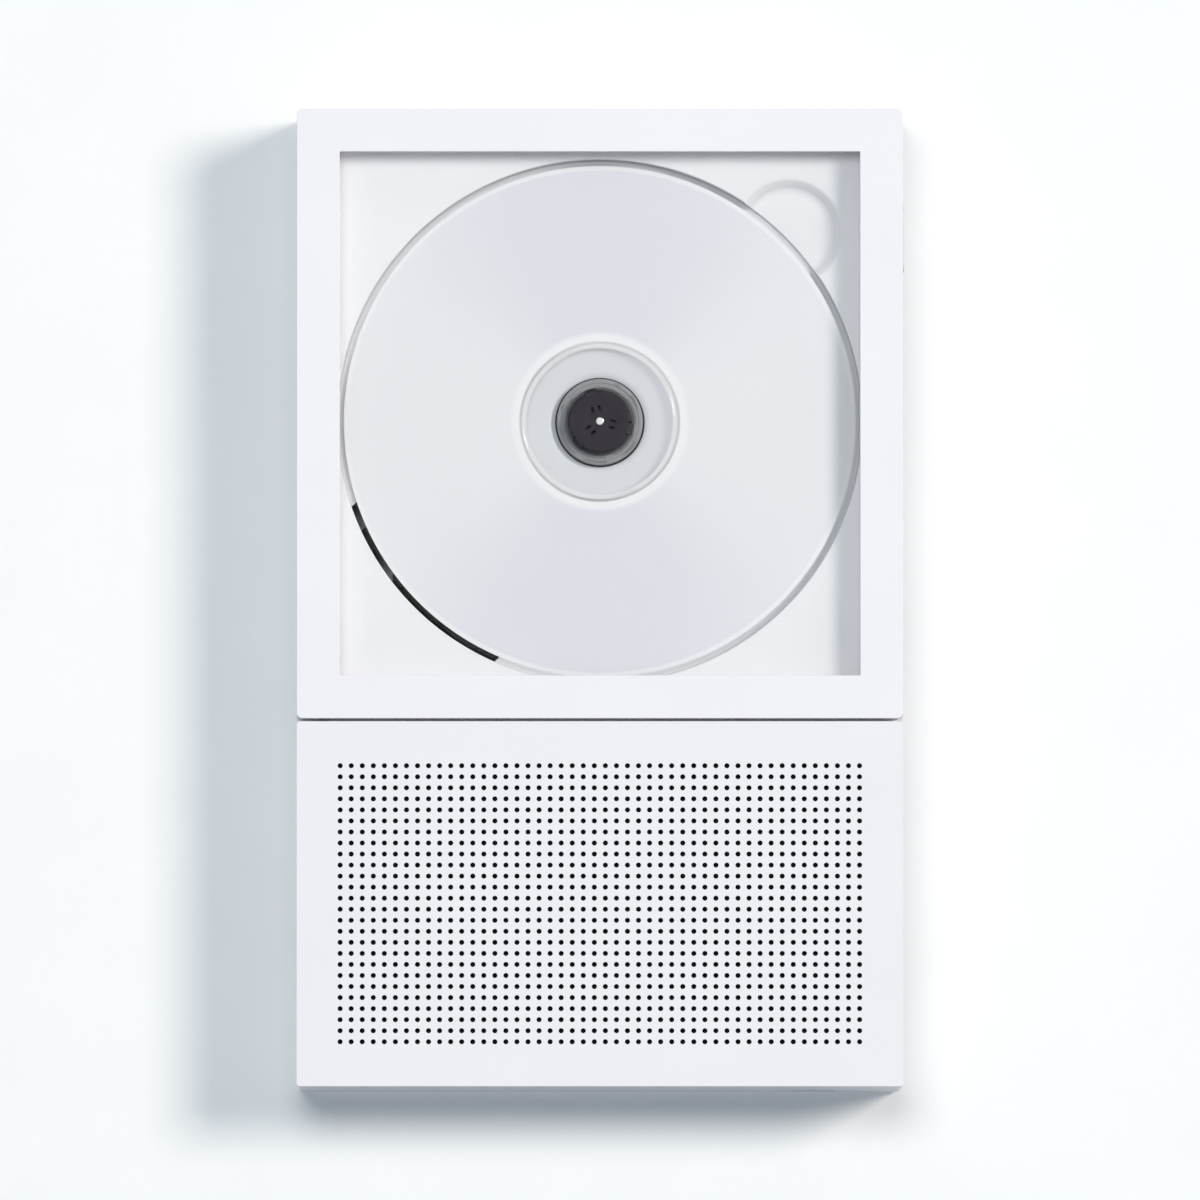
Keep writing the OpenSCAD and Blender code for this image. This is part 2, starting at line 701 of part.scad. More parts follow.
module turntable() color("dimgray") upright() at_spindle() {
  top = disc_z - pad_t;
  difference() {
    union() {
      translate([0, 0, top - 1.8]) cylinder(r = table_r, h = 1.8);
      translate([0, 0, plate_z + 0.8]) cylinder(r = 3, h = top - plate_z - 1.8);
    }
    translate([0, 0, plate_z]) cylinder(r = shaft_r + snug, h = 12);
    for (a = [0:60:300]) rotate([0, 0, a]) translate([5.6, 0, top - 2.8]) cylinder(r = 1, h = 2);
  }
}

module turntable_pad() color("black") upright() at_spindle()
  translate([0, 0, disc_z - pad_t]) linear_extrude(pad_t) difference() {
    circle(table_r);
    circle(disc_hole_d / 2 + 0.4);
  }

module clamp_hub() color("darkslategray") upright() at_spindle() {
  r = disc_hole_d / 2 - 0.15;
  low = disc_z - pad_t;
  difference() {
    rotate_extrude() {
      translate([0, low]) square([r, hub_top_z - low - 0.8]);
      translate([0, low]) square([r - 0.8, hub_top_z - low]);
      translate([r - 0.8, hub_top_z - 0.8]) circle(0.8);
    }
    translate([0, 0, low - past]) cylinder(r = shaft_r + snug, h = 6);
    translate([0, 0, hub_top_z - 0.3]) cylinder(r1 = 2.2, r2 = 5.2, h = 0.32);
    for (a = claw_angles) rotate([0, 0, a]) {
      span([4.6, -1.6, disc_z + disc_t - 0.4], [10, 1.6, hub_top_z - 0.9]);
      for (t = [-1.5, 1.5]) translate([2.9, t, hub_top_z - 0.9]) cylinder(r = 0.35, h = 2);
    }
  }
}

// Three sprung claws lean over the edge of the disc's hole
module clamp_claws() color("gray") upright() at_spindle()
  for (a = claw_angles) rotate([0, 0, a]) translate([0, 1.3, 0]) rotate([90, 0, 0])
    linear_extrude(2.6) polygon([
      [4.9, disc_z + disc_t - 0.3], [7.2, disc_z + disc_t - 0.3], [7.2, disc_z + disc_t + 0.1],
      [7.8, disc_z + disc_t + 0.1], [7.7, disc_z + disc_t + 0.5], [6.9, hub_top_z - 1.1],
      [4.9, hub_top_z - 1.1]]);

module spindle_shaft() color("silver") upright() at_spindle()
  translate([0, 0, plate_z - 6.4]) cylinder(r = shaft_r, h = hub_top_z + 0.1 - plate_z + 6.4);

module spindle_motor() color("silver") upright() at_spindle() {
  r = spindle_motor_r;
  difference() {
    rotate_extrude() {
      translate([0, plate_z - 7]) square([r - 1, 7]);
      translate([0, plate_z - 6]) square([r, 5.4]);
      translate([0, plate_z - 1]) square([r - 0.6, 1]);
      translate([0, plate_z - 1]) square([2.4, 1.6]);
    }
    translate([0, 0, plate_z - 6.5]) cylinder(r = shaft_r + 0.05, h = 8);
    for (a = [20:60:320]) rotate([0, 0, a]) translate([7, 0, plate_z - 8]) cylinder(r = 1.1, h = 1.6);
  }
}

// The pickup's sprung chassis

module chassis_outline() {
  translate([-19, -19]) square([87, 19 + screw_offset + 4]);
  for (p = dampers) {
    translate([p[0], p[1]]) circle(5.2);
    translate([p[0] - 5.2, min(p[1], 0)]) square([10.4, abs(p[1])]);
  }
}

module traverse_chassis() color("black") upright() at_mechanism() {
  difference() {
    union() {
      translate([0, 0, plate_z]) linear_extrude(plate_t) chassis_outline();
      for (u = rod_ends, v = [-rod_offset, rod_offset])
        span([u - rod_end_l, v - 3, rod_z - 2.4], [u + rod_end_l, v + 3, plate_z + plate_t / 2]);
      for (b = feed_bearings) span([b[0], screw_offset - 3.4, screw_z - 2.6],
        [b[0] + b[1], screw_offset + 3.4, plate_z + plate_t / 2]);
    }
    translate([0, 0, plate_z - past]) cylinder(r = 3.6, h = plate_t + 2 * past);
    span([13, -12.6, plate_z - past], [lens_out + carriage_out + 1.3, 12.6, plate_z + 4]);
    for (p = dampers) translate([p[0], p[1], plate_z - past]) cylinder(r = 2.8, h = 4);
    for (v = [-rod_offset, rod_offset])
      translate([0, v, rod_z]) rotate([0, 90, 0]) cylinder(r = rod_r + snug, h = 80);
    translate([0, screw_offset, screw_z]) rotate([0, 90, 0]) cylinder(r = 0.85, h = 80);
    for (u = [20:10:50]) translate([u, -16, plate_z - past]) linear_extrude(4) stadium(6, 2.4);
  }
}

module chassis_dampers() color("dimgray") upright() at_mechanism()
  for (p = dampers) translate([p[0], p[1], 0]) rotate_extrude() {
    translate([1.6, damper_low_z]) square([1.15, damper_top_z - damper_low_z]);
    translate([1.6, damper_low_z]) square([2.6, plate_z - damper_low_z]);
    translate([1.6, plate_z + plate_t]) square([2.6, damper_top_z - plate_z - plate_t]);
  }

module chassis_screws() color("silver") upright() at_mechanism()
  for (p = dampers) translate([p[0], p[1], damper_low_z - 1]) {
    cylinder(r = 3, h = 1);
    cylinder(r = 1.5, h = damper_top_z - damper_low_z + 1);
    cylinder(r = 0.8, h = damper_top_z - damper_low_z + 3);
  }

module guide_rods() color("silver") upright() at_mechanism()
  for (v = [-rod_offset, rod_offset]) translate([rod_ends[0] - rod_end_l, v, rod_z]) rotate([0, 90, 0])
    cylinder(r = rod_r, h = rod_ends[1] - rod_ends[0] + 2 * rod_end_l);

module pickup_carriage() color("dimgray") upright() at_mechanism() translate([lens_in, 0, 0]) {
  back_z = carriage_back_z;
  top_z = carriage_top_z;
  arm_top_z = plate_z - 0.4;
  difference() {
    union() {
      translate([(carriage_out - carriage_in) / 2, 0, back_z]) linear_extrude(top_z - back_z)
        rounded(carriage_in + carriage_out, 24, 2.5);
      span([-9, 10, rod_z - 2.8], [5, rod_offset + 2.8, arm_top_z]);
      span([-4, -rod_offset - 2.8, rod_z - 2.8], [3, -10, arm_top_z]);
      span([-6, rod_offset, screw_z - 2.8], [0, screw_offset + 2.8, screw_z + 2.8]);
      translate([0, 0, back_z]) cylinder(r = barrel_r, h = barrel_top_z - back_z);
    }
    translate([-20, rod_offset, rod_z]) rotate([0, 90, 0]) cylinder(r = rod_r + 0.05, h = 40);
    span([-5, -rod_offset - 4, rod_z - rod_r - 0.1], [4, -rod_offset + 1.7, rod_z + rod_r + 0.1]);
    translate([-20, screw_offset, screw_z]) rotate([0, 90, 0]) cylinder(r = screw_r + 0.3, h = 40);
    span([-carriage_in - past, -6, back_z - past], [-carriage_in + 2, 6, back_z + 4]);
    translate([0, 0, -past]) cylinder(r = 1.2, h = back_z + 3);
    for (x = [-6, 4], y = [-8, 8]) translate([x, y, top_z - 0.8]) cylinder(r = 1.3, h = 2);
  }
}

module pickup_lens() color("lightblue") upright() at_mechanism()
  translate([lens_in, 0, barrel_top_z]) {
    cylinder(r = 2.2, h = 0.3);
    translate([0, 0, 0.3]) intersection() {
      translate([0, 0, -3.7]) sphere(r = 4.2);
      translate([0, 0, -0.1]) cylinder(r = 1.7, h = 1);
    }
  }

module feed_motor() color("silver") upright() at_mechanism()
  translate([motor_front, screw_offset, screw_z]) rotate([0, -90, 0]) difference() {
    union() {
      cylinder(r = 4.2, h = 13);
      translate([0, 0, 12]) cylinder(r = 2.2, h = 2);
    }
    translate([0, 0, -past]) cylinder(r = 0.85, h = 5);
  }

module feed_screw() color("silver") upright() at_mechanism()
  translate([2.4, screw_offset, screw_z]) rotate([0, 90, 0]) {
    cylinder(r = 0.8, h = rod_ends[1] + 1.2 - 2.4);
    translate([0, 0, 6]) cylinder(r = screw_r, h = rod_ends[1] - 2.4 - 2.4 - 5.4);
  }

// The speaker panel

module at_pegs() {
  for (x = [-peg_x, peg_x], y = [-peg_reach, peg_reach]) translate([x, panel_y + y, 0]) children();
}

module speaker_grille() color("white") upright() {
  t = body_d - rim_z;
  difference() {
    union() {
      difference() {
        translate([0, panel_y, rim_z])
          soft_plate(body_w, panel_h, t, panel_corner_r, panel_edge_r);
        translate([0, panel_y, rim_z - past]) linear_extrude(t - grille_t + past)
          square([body_w - 2 * skirt_t, panel_h - 2 * skirt_t], center = true);
      }
      at_pegs() translate([0, 0, baffle_z - 0.9])
        cylinder(r = peg_r, h = body_d - grille_t - baffle_z + 1.4);
    }
    translate([0, panel_y, body_d - grille_t - past]) linear_extrude(grille_t + 2 * past)
      for (i = [0:hole_columns - 1], j = [0:hole_rows - 1])
        translate([i - (hole_columns - 1) / 2, j - (hole_rows - 1) / 2] * hole_pitch)
          circle(d = hole_d, $fn = 20);
  }
}

module grille_cloth() color("black") upright()
  translate([0, panel_y, body_d - grille_t - cloth_t]) linear_extrude(cloth_t)
    rounded(hole_columns * hole_pitch + 3, hole_rows * hole_pitch + 3, 2);

module speaker_baffle() color("black") upright() {
  difference() {
    span([-inner_w / 2 + 0.3, baffle_low, baffle_z], [inner_w / 2 - 0.3, baffle_top, rim_z]);
    for (side = [-1, 1]) at_driver(side) {
      translate([0, 0, baffle_z - past]) cylinder(r = driver_r - 3, h = baffle_t + 2 * past);
      for (a = [45:90:315]) rotate([0, 0, a]) translate([driver_screw_r, 0, baffle_z - past])
        cylinder(r = 0.8, h = baffle_t + 2 * past);
    }
    at_baffle_screws() translate([0, 0, baffle_z - past])
      cylinder(r = small_free_r, h = baffle_t + 2 * past);
    at_pegs() translate([0, 0, baffle_z - past]) cylinder(r = peg_r + 0.1, h = 5);
  }
}

// The drivers, each a pressed frame, a magnet, a cone and its suspension

module driver_frame(side) color("dimgray") upright() at_driver(side) {
  r = driver_r;
  z = basket_z;
  land = rim_z + 0.7;
  difference() {
    rotate_extrude() polygon([[r - 5.2, land], [r - 3.2, land], [r - 3.2, flange_z],
      [r, flange_z], [r, rim_z], [r - 3.4, rim_z], [r - 11.2, z], [8.8, z], [8.8, z + 0.8],
      [r - 13.4, z + 0.8], [r - 13.4, z + 1.6], [r - 11.8, z + 1.6], [r - 5.2, rim_z]]);
    for (a = [0:90:270]) rotate([0, 0, a]) span([14.8, -6.5, z + 2.6], [r, 6.5, rim_z - 1.1]);
    for (a = [45:90:315]) rotate([0, 0, a]) translate([driver_screw_r, 0, rim_z - past])
      cylinder(r = 0.85, h = 5);
  }
}

module driver_magnet(side) color("darkslategray") upright() at_driver(side) {
  m = magnet_z;
  top = basket_z;
  rotate_extrude() polygon([[0, m], [16, m], [16, m + 1.4], [17, m + 1.4], [17, top - 1.4],
    [15, top - 1.4], [15, top], [8.4, top], [8.4, m + 1.9], [7, m + 1.9], [7, top], [0, top]]);
}

module driver_cone(side) color("black") upright() at_driver(side) {
  edge = driver_r - 7.4;
  top = rim_z + 0.45;
  neck = basket_z + 3.2;
  cap_r = 13.6;
  rotate_extrude() {
    polygon([[7.4, basket_z - 4], [7.8, basket_z - 4], [7.8, neck], [8.4, neck + 0.4],
      [edge, top - 0.5], [edge, top], [edge - 0.4, top], [8, neck + 0.9], [7.4, neck + 0.9]]);
    intersection() {
      translate([0, neck + 3.5 - cap_r]) difference() {
        circle(cap_r);
        circle(cap_r - 0.4);
      }
      translate([0, neck + 0.8]) square([8.1, 4]);
    }
  }
}

module driver_suspension(side) color("black") upright() at_driver(side) {
  roll_r = driver_r - 6;
  land = rim_z + 0.7;
  rotate_extrude() {
    intersection() {
      translate([roll_r, land + 0.2]) difference() {
        circle(1.35);
        circle(0.95);
      }
      translate([roll_r - 3, land]) square([6, 3]);
    }
    translate([roll_r + 1, land]) square([1.6, 0.4]);
    translate([roll_r - 2.3, land + 0.05]) square([1.3, 0.4]);
  }
  rotate_extrude() translate([8.1, basket_z + 1.6]) square([driver_r - 12.4 - 8.1, 0.4]);
}

module driver_screws() color("gray") upright()
  for (side = [-1, 1]) at_driver(side) for (a = [45:90:315]) rotate([0, 0, a])
    translate([driver_screw_r, 0, flange_z + 1]) mirror([0, 0, 1]) screw(1.5, 1, 0.75, 3.4);

// The boards and sockets

module board(low, high, z, t) {
  span([low[0], low[1], z], [high[0], high[1], z + t]);
}

module main_board() color("green") upright() difference() {
  board([board_x[0], board_y[0]], [board_x[1], board_y[1]], board_z, board_t);
  at_board_screws() translate([0, 0, board_z - past])
    cylinder(r = small_free_r, h = board_t + 2 * past);
}

module charge_board() color("green") upright() difference() {
  board([charge_x[0], charge_y[0]], [charge_x[1], charge_y[1]], board_z, board_t);
  at_board_screws() translate([0, 0, board_z - past])
    cylinder(r = small_free_r, h = board_t + 2 * past);
}

module main_board_parts() color("darkslategray") upright()
  translate([board_x[0], board_y[0], board_z + board_t]) {
  for (c = chips) translate([c[0], c[1], c[4] / 2]) cube([c[2], c[3], c[4]], center = true);
  for (c = capacitors) translate([c[0], c[1], 0]) {
    cylinder(r = 2, h = 2);
    translate([-2.2, -2.2, 0]) cube([4.4, 4.4, 0.5]);
  }
}

module usb_socket() color("silver") upright() translate([usb_x, -top_y + 0.3, usb_z])
  rotate([-90, 0, 0]) {
    linear_extrude(usb_l) difference() {
      stadium(usb_w, usb_t);
      stadium(usb_w - 0.6, usb_t - 0.6);
    }
    translate([0, 0, usb_l - 1]) linear_extrude(1) stadium(usb_w - 0.3, usb_t - 0.3);
    translate([-3.35, -0.35, 1]) cube([6.7, 0.7, usb_l - 1.5]);
  }

module headphone_jack() color("black") upright() difference() {
  union() {
    span([charge_x[1] - 7, jack_y - 3.2, board_z + board_t],
      [inner_w / 2 - 0.3, jack_y + 3.2, jack_z + 2.3]);
    translate([inner_w / 2 - 0.5, jack_y, jack_z]) rotate([0, 90, 0])
      cylinder(r = 2.5, h = wall_t + 0.3);
  }
  translate([charge_x[1] - 5, jack_y, jack_z]) rotate([0, 90, 0])
    cylinder(r = jack_bore_r, h = 30);
}

// The keys and their switches

module key_blank(l, proud) {
  top = key_inset + wall_t + proud;
  linear_extrude(key_flange_t) stadium(l + 2, key_w + 1.6);
  linear_extrude(top - 0.25) stadium(l, key_w);
  linear_extrude(top) stadium(l - 0.6, key_w - 0.6);
}

module top_key(i) color("white") upright()
  translate([key_xs[i], inner_h / 2 - key_inset, key_z]) rotate([-90, 0, 0]) key_blank(key_l, key_proud);

module power_key() color("white") upright()
  translate([inner_w / 2 - key_inset, power_y, key_z]) rotate([90, 0, 90]) key_blank(power_l, power_proud);

module key_board() color("green") upright() difference() {
  span([-key_board_post_x - 3.2, key_board_y - key_board_t, key_z - 5],
    [key_board_post_x + 3.2, key_board_y, key_z + 3.9]);
  at_key_posts() translate([0, 0, -key_board_t - past])
    cylinder(r = small_free_r, h = key_board_t + 2 * past);
}

module tact_switch() {
  linear_extrude(switch_t) rounded(6, 5, 0.5);
  cylinder(r = 1.4, h = switch_t + plunger_t);
}

module key_switches() color("gray") upright()
  for (x = key_xs) translate([x, key_board_y, key_z]) rotate([-90, 0, 0]) tact_switch();

module power_board() color("green") upright() {
  span([power_board_x - key_board_t, power_y - power_board_l / 2, key_z - 4.8],
    [power_board_x, power_y + power_board_l / 2, key_z + 3.9]);
  translate([power_board_x, power_y, key_z]) rotate([0, 90, 0]) tact_switch();
}

// The steel bracket that stays on the wall, and whose two tabs carry the player
module wall_bracket() color("silver") upright() {
  lip_z = pocket_z + 2.8;
  difference() {
    translate([0, bracket_y, 0]) linear_extrude(bracket_t) rounded(bracket_w, bracket_h, 3);
    for (x = [-1, 1]) translate([x * bracket_spacing / 2, bracket_y, -past])
      cylinder(d = bracket_hole_d, h = 4);
  }
  for (x = [-tab_x, tab_x]) {
    span([x - tab_w / 2, tab_y, bracket_t / 2], [x + tab_w / 2, tab_y + bracket_t, lip_z + bracket_t]);
    span([x - tab_w / 2, tab_y, lip_z], [x + tab_w / 2, tab_y + 4, lip_z + bracket_t]);
  }
}

rear_cover();
mid_frame();
disc_deck();
lid_frame();
lid_window();
hinge_pins();
catch_magnet();
catch_plate();
speaker_grille();
grille_cloth();
speaker_baffle();
driver_frame(-1);  // driver_left_frame
driver_frame(1);  // driver_right_frame
driver_magnet(-1);  // driver_left_magnet
driver_magnet(1);  // driver_right_magnet
driver_cone(-1);  // driver_left_cone
driver_cone(1);  // driver_right_cone
driver_suspension(-1);  // driver_left_suspension
driver_suspension(1);  // driver_right_suspension
disc();
turntable();
turntable_pad();
clamp_hub();
clamp_claws();
spindle_shaft();
spindle_motor();
traverse_chassis();
chassis_dampers();
chassis_screws();
guide_rods();
pickup_carriage();
pickup_lens();
feed_motor();
feed_screw();
main_board();
main_board_parts();
charge_board();
usb_socket();
headphone_jack();
battery();
top_key(0);  // key_previous
top_key(1);  // key_play
top_key(2);  // key_next
top_key(3);  // key_volume_down
top_key(4);  // key_volume_up
key_board();
key_switches();
power_key();
power_board();
wall_bracket();
case_screws();
deck_screws();
baffle_screws();
driver_screws();
board_screws();
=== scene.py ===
import math

import bmesh
import bpy
from mathutils import Matrix, Vector


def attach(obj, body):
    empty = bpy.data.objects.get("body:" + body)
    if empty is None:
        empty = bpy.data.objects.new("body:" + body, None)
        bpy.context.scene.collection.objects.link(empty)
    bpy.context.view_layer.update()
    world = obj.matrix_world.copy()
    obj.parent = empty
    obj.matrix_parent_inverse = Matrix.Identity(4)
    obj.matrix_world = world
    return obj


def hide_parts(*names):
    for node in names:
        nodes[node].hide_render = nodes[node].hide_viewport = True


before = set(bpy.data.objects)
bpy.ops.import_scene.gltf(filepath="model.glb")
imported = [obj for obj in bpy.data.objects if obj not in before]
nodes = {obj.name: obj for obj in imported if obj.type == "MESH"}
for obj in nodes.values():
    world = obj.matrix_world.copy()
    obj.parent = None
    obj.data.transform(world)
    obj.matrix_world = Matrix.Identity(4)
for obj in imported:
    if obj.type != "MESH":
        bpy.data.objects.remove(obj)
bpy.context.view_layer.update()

# Camera. The photograph looks straight at the front from three degrees below and from
# far away, so its edges stay parallel and a strip of the bottom face shows.
MM = 0.001


def place(x, up, out):
    """A point from its distances right of the middle, above the middle and out from the wall."""
    return Vector((x * MM, -out * MM, up * MM))


front = 37.0
photo_px, px_per_mm = 1200, 4.332
aim_px_right, aim_px_up = 0.13, -2.95
look_from = math.radians(-3.0)
far, sensor = 8.0, 36
view_dir = Vector((0, -math.cos(look_from), math.sin(look_from)))
aim = place(aim_px_right / px_per_mm, aim_px_up / px_per_mm, front)
lens_data = bpy.data.cameras.new("photo_camera")
lens_data.sensor_width = sensor
lens_data.lens = sensor * far / (photo_px / px_per_mm * MM)
lens_data.clip_end = 60
camera = bpy.data.objects.new("photo_camera", lens_data)
camera.location = aim + view_dir * far
camera.rotation_euler = (-view_dir).to_track_quat("-Z", "Y").to_euler()
bpy.context.scene.collection.objects.link(camera)
bpy.context.scene.camera = camera
bpy.context.scene.view_settings.view_transform = "Standard"

# Light. A soft lamp at the upper right throws the long shadow to the left and one above the
# camera the short one underneath, and a weak bluish sky fills both. Nothing mirrors the lamp
# above the camera, and the third lamp is for views of the back.
sky = bpy.data.worlds.new("studio_sky")
bpy.context.scene.world = sky
sky.use_nodes = True
sky_nodes, sky_links = sky.node_tree.nodes, sky.node_tree.links
ambient = sky_nodes["Background"]
ambient.inputs["Color"].default_value = (0.72, 0.87, 1.0, 1)
ambient.inputs["Strength"].default_value = 0.32
seen = sky_nodes.new("ShaderNodeBackground")
seen.inputs["Color"].default_value = (1, 1, 1, 1)
seen.inputs["Strength"].default_value = 1
ray = sky_nodes.new("ShaderNodeLightPath")
shows_white = ray.outputs["Is Camera Ray"]
for kind in ("Is Transmission Ray", "Is Glossy Ray"):
    either = sky_nodes.new("ShaderNodeMath")
    either.operation = "MAXIMUM"
    sky_links.new(shows_white, either.inputs[0])
    sky_links.new(ray.outputs[kind], either.inputs[1])
    shows_white = either.outputs[0]
sky_mix = sky_nodes.new("ShaderNodeMixShader")
sky_links.new(shows_white, sky_mix.inputs[0])
sky_links.new(ambient.outputs[0], sky_mix.inputs[1])
sky_links.new(seen.outputs[0], sky_mix.inputs[2])
sky_links.new(sky_mix.outputs[0], sky_nodes["World Output"].inputs["Surface"])


lamps_aim = place(0, 0, 20)


def lamp(name, position, width, height, watts, colour):
    """An oval area lamp that faces the player, its place and size in metres."""
    light = bpy.data.lights.new(name, "AREA")
    light.shape = "ELLIPSE"
    light.size = width
    light.size_y = height
    light.energy = watts
    light.color = colour
    holder = bpy.data.objects.new(name, light)
    holder.location = position
    holder.rotation_euler = (lamps_aim - holder.location).to_track_quat("-Z", "Y").to_euler()
    bpy.context.scene.collection.objects.link(holder)
    return holder


lamp("side_lamp", Vector((3.15, -4.5, 1.08)), 1.67, 1.67, 156, (1.0, 0.945, 0.88))
top_lamp = lamp("top_lamp", Vector((-0.28, -3.5, 0.64)), 1.4, 1.05, 46, (0.95, 0.985, 1.0))
top_lamp.visible_glossy = False
lamp("back_lamp", Vector((-0.9, 3.5, 0.9)), 1.3, 1.3, 58, (1.0, 0.965, 0.92))


# The wall behind the player, white and matt. It shows from its front only and throws no
# shadow or light, so the player's back can be looked at too.
class Link:
    """One socket in a finish's nodes. Arithmetic on it adds Math nodes."""

    def __init__(self, tree, socket):
        self.tree, self.socket = tree, socket

    def node(self, kind, settings=None, inputs=None, out=0):
        """Adds a node with its settings and the values or links of its sockets."""
        made = self.tree.nodes.new(kind)
        for name, value in (settings or {}).items():
            setattr(made, name, value)
        for name, value in (inputs or {}).items():
            if isinstance(value, Link):
                self.tree.links.new(value.socket, made.inputs[name])
            else:
                made.inputs[name].default_value = value
        return Link(self.tree, made.outputs[out])

    def maths(self, operation, *values):
        settings = {"operation": operation}
        return self.node("ShaderNodeMath", settings, dict(enumerate([self, *values])))

    def __add__(self, other):
        return self.maths("ADD", other)

    def __sub__(self, other):
        return self.maths("SUBTRACT", other)

    def __rsub__(self, other):
        settings = {"operation": "SUBTRACT"}
        return self.node("ShaderNodeMath", settings, {0: other, 1: self})

    def __mul__(self, other):
        return self.maths("MULTIPLY", other)

    __radd__ = __add__
    __rmul__ = __mul__

    def waves(self, length):
        """A sine of this value, with one wave to so many mm."""
        return (self * (2 * math.pi / (length * MM))).maths("SINE")

    def step(self, low, high):
        """0 below low, 1 above high and smooth between them."""
        return self.node("ShaderNodeMapRange", {"interpolation_type": "SMOOTHSTEP"},
                         {"Value": self, "From Min": low, "From Max": high})

    def blend(self, one, two):
        """A colour that goes from one to two as this value goes from 0 to 1."""
        made = self.tree.nodes.new("ShaderNodeMix")
        made.data_type = "RGBA"
        self.tree.links.new(self.socket, made.inputs[0])
        for slot, value in ((6, one), (7, two)):
            if isinstance(value, Link):
                self.tree.links.new(value.socket, made.inputs[slot])
            else:
                made.inputs[slot].default_value = (*value, 1)
        return Link(self.tree, made.outputs[2])


class Finish:
    """A material of one Principled shader, whose sockets are set by name."""

    def __init__(self, name, **values):
        self.material = bpy.data.materials.new(name)
        self.material.use_nodes = True
        self.tree = self.material.node_tree
        self.shader = self.tree.nodes["Principled BSDF"]
        self.start = Link(self.tree, None)
        self.coords = self.start.node("ShaderNodeTexCoord", out="Object")
        self.set(**values)

    def set(self, **values):
        for name, value in values.items():
            socket = self.shader.inputs[name.replace("_", " ")]
            if isinstance(value, Link):
                self.tree.links.new(value.socket, socket)
            else:
                socket.default_value = value
        return self

    def axis(self, name):
        return self.coords.node("ShaderNodeSeparateXYZ", None, {0: self.coords}, out=name)

    def noise(self, per_mm, detail=3.0, stretch=None):
        """Noise with so many features to a millimetre, stretched along an axis if asked."""
        where = self.coords
        if stretch:
            where = where.node("ShaderNodeMapping", None, {"Vector": where, "Scale": stretch})
        return where.node("ShaderNodeTexNoise", None, {
            "Vector": where, "Scale": per_mm / MM, "Detail": detail})

    def bump(self, height, depth_mm):
        normal = height.node("ShaderNodeBump", None, {"Height": height, "Distance": depth_mm * MM})
        return self.set(Normal=normal)

    def surface(self, share, one, two):
        """Ends the material in a mix of two shaders, with a share of the second."""
        mixed = share.node("ShaderNodeMixShader", None, {0: share, 1: one, 2: two})
        self.tree.links.new(mixed.socket, self.tree.nodes["Material Output"].inputs[0])


def moulded(name, colour, roughness=0.42, grain=3.0, depth=0.006, coat=0.0):
    """Moulded plastic: a fine spark-eroded grain, with soft clouds in its colour and gloss."""
    made = Finish(name, Coat_Weight=coat, Coat_Roughness=0.25)
    clouds = made.noise(0.03)
    grains = made.noise(grain)
    darker, lighter = [c * 0.985 for c in colour], [min(1, c * 1.01) for c in colour]
    shade = clouds.step(0.25, 0.75).blend(darker, lighter)
    made.set(Base_Color=(grains.step(0.35, 0.65) * 0.5).blend(shade, [c * 0.99 for c in colour]))
    made.set(Roughness=clouds * 0.08 + grains * 0.06 + (roughness - 0.07))
    return made.bump(grains, depth)


wall_white, wall_size, wall_gap = (0.985, 0.98, 0.975), 12, 0.6
paint = moulded("wall_paint", wall_white, 0.85, grain=0.4, depth=0.01)
is_back = paint.start.node("ShaderNodeNewGeometry", out="Backfacing")
see_through = paint.start.node("ShaderNodeBsdfTransparent")
paint_shader = Link(paint.tree, paint.shader.outputs[0])
paint.surface(is_back, paint_shader, see_through)
bpy.ops.object.select_all(action="DESELECT")
bpy.ops.mesh.primitive_plane_add(
    size=wall_size, location=place(0, 0, -wall_gap), rotation=(math.pi / 2, 0, 0))
wall = bpy.context.object
wall.name = "wall"
bpy.ops.object.transform_apply()
wall.data.materials.append(paint.material)
wall.visible_shadow = False
wall.visible_diffuse = False


# The lid's frame, a square of satin white ABS. Its front edges are rounded, the window
# sits on a step behind its opening, and two pockets and bores take the hinge.
def apart():
    """Leaves edit mode with nothing selected, ready for a new primitive."""
    if bpy.context.mode != "OBJECT":
        bpy.ops.object.mode_set(mode="OBJECT")
    bpy.ops.object.select_all(action="DESELECT")


def start(name):
    """Names the primitive that was just added, fixes its size and place, and edits it."""
    piece = bpy.context.object
    piece.name = piece.data.name = name
    bpy.ops.object.transform_apply(location=True, rotation=True, scale=True)
    bpy.ops.object.mode_set(mode="EDIT")
    return piece


def block(name, low, high, turn=0.0, about=(0, 0, 0)):
    """Starts a piece from a block between two corners, each (right, up, out) in mm.

    With a turn, the corners are measured from a point along axes turned about it."""
    apart()
    a, b = place(*low), place(*high)
    size = [abs(p - q) for p, q in zip(a, b)]
    middle = Matrix.Rotation(-turn, 3, "Y") @ ((a + b) / 2) + place(*about)
    bpy.ops.mesh.primitive_cube_add(size=1, location=middle, rotation=(0, -turn, 0), scale=size)
    return start(name)


def disk(name, at, radius, depth, sides=96, lean=(math.pi / 2, 0, 0)):
    """Starts a piece from a round bar whose middle is at (right, up, out) in mm."""
    apart()
    bpy.ops.mesh.primitive_cylinder_add(
        vertices=sides, radius=radius * MM, depth=depth * MM, location=place(*at), rotation=lean)
    return start(name)


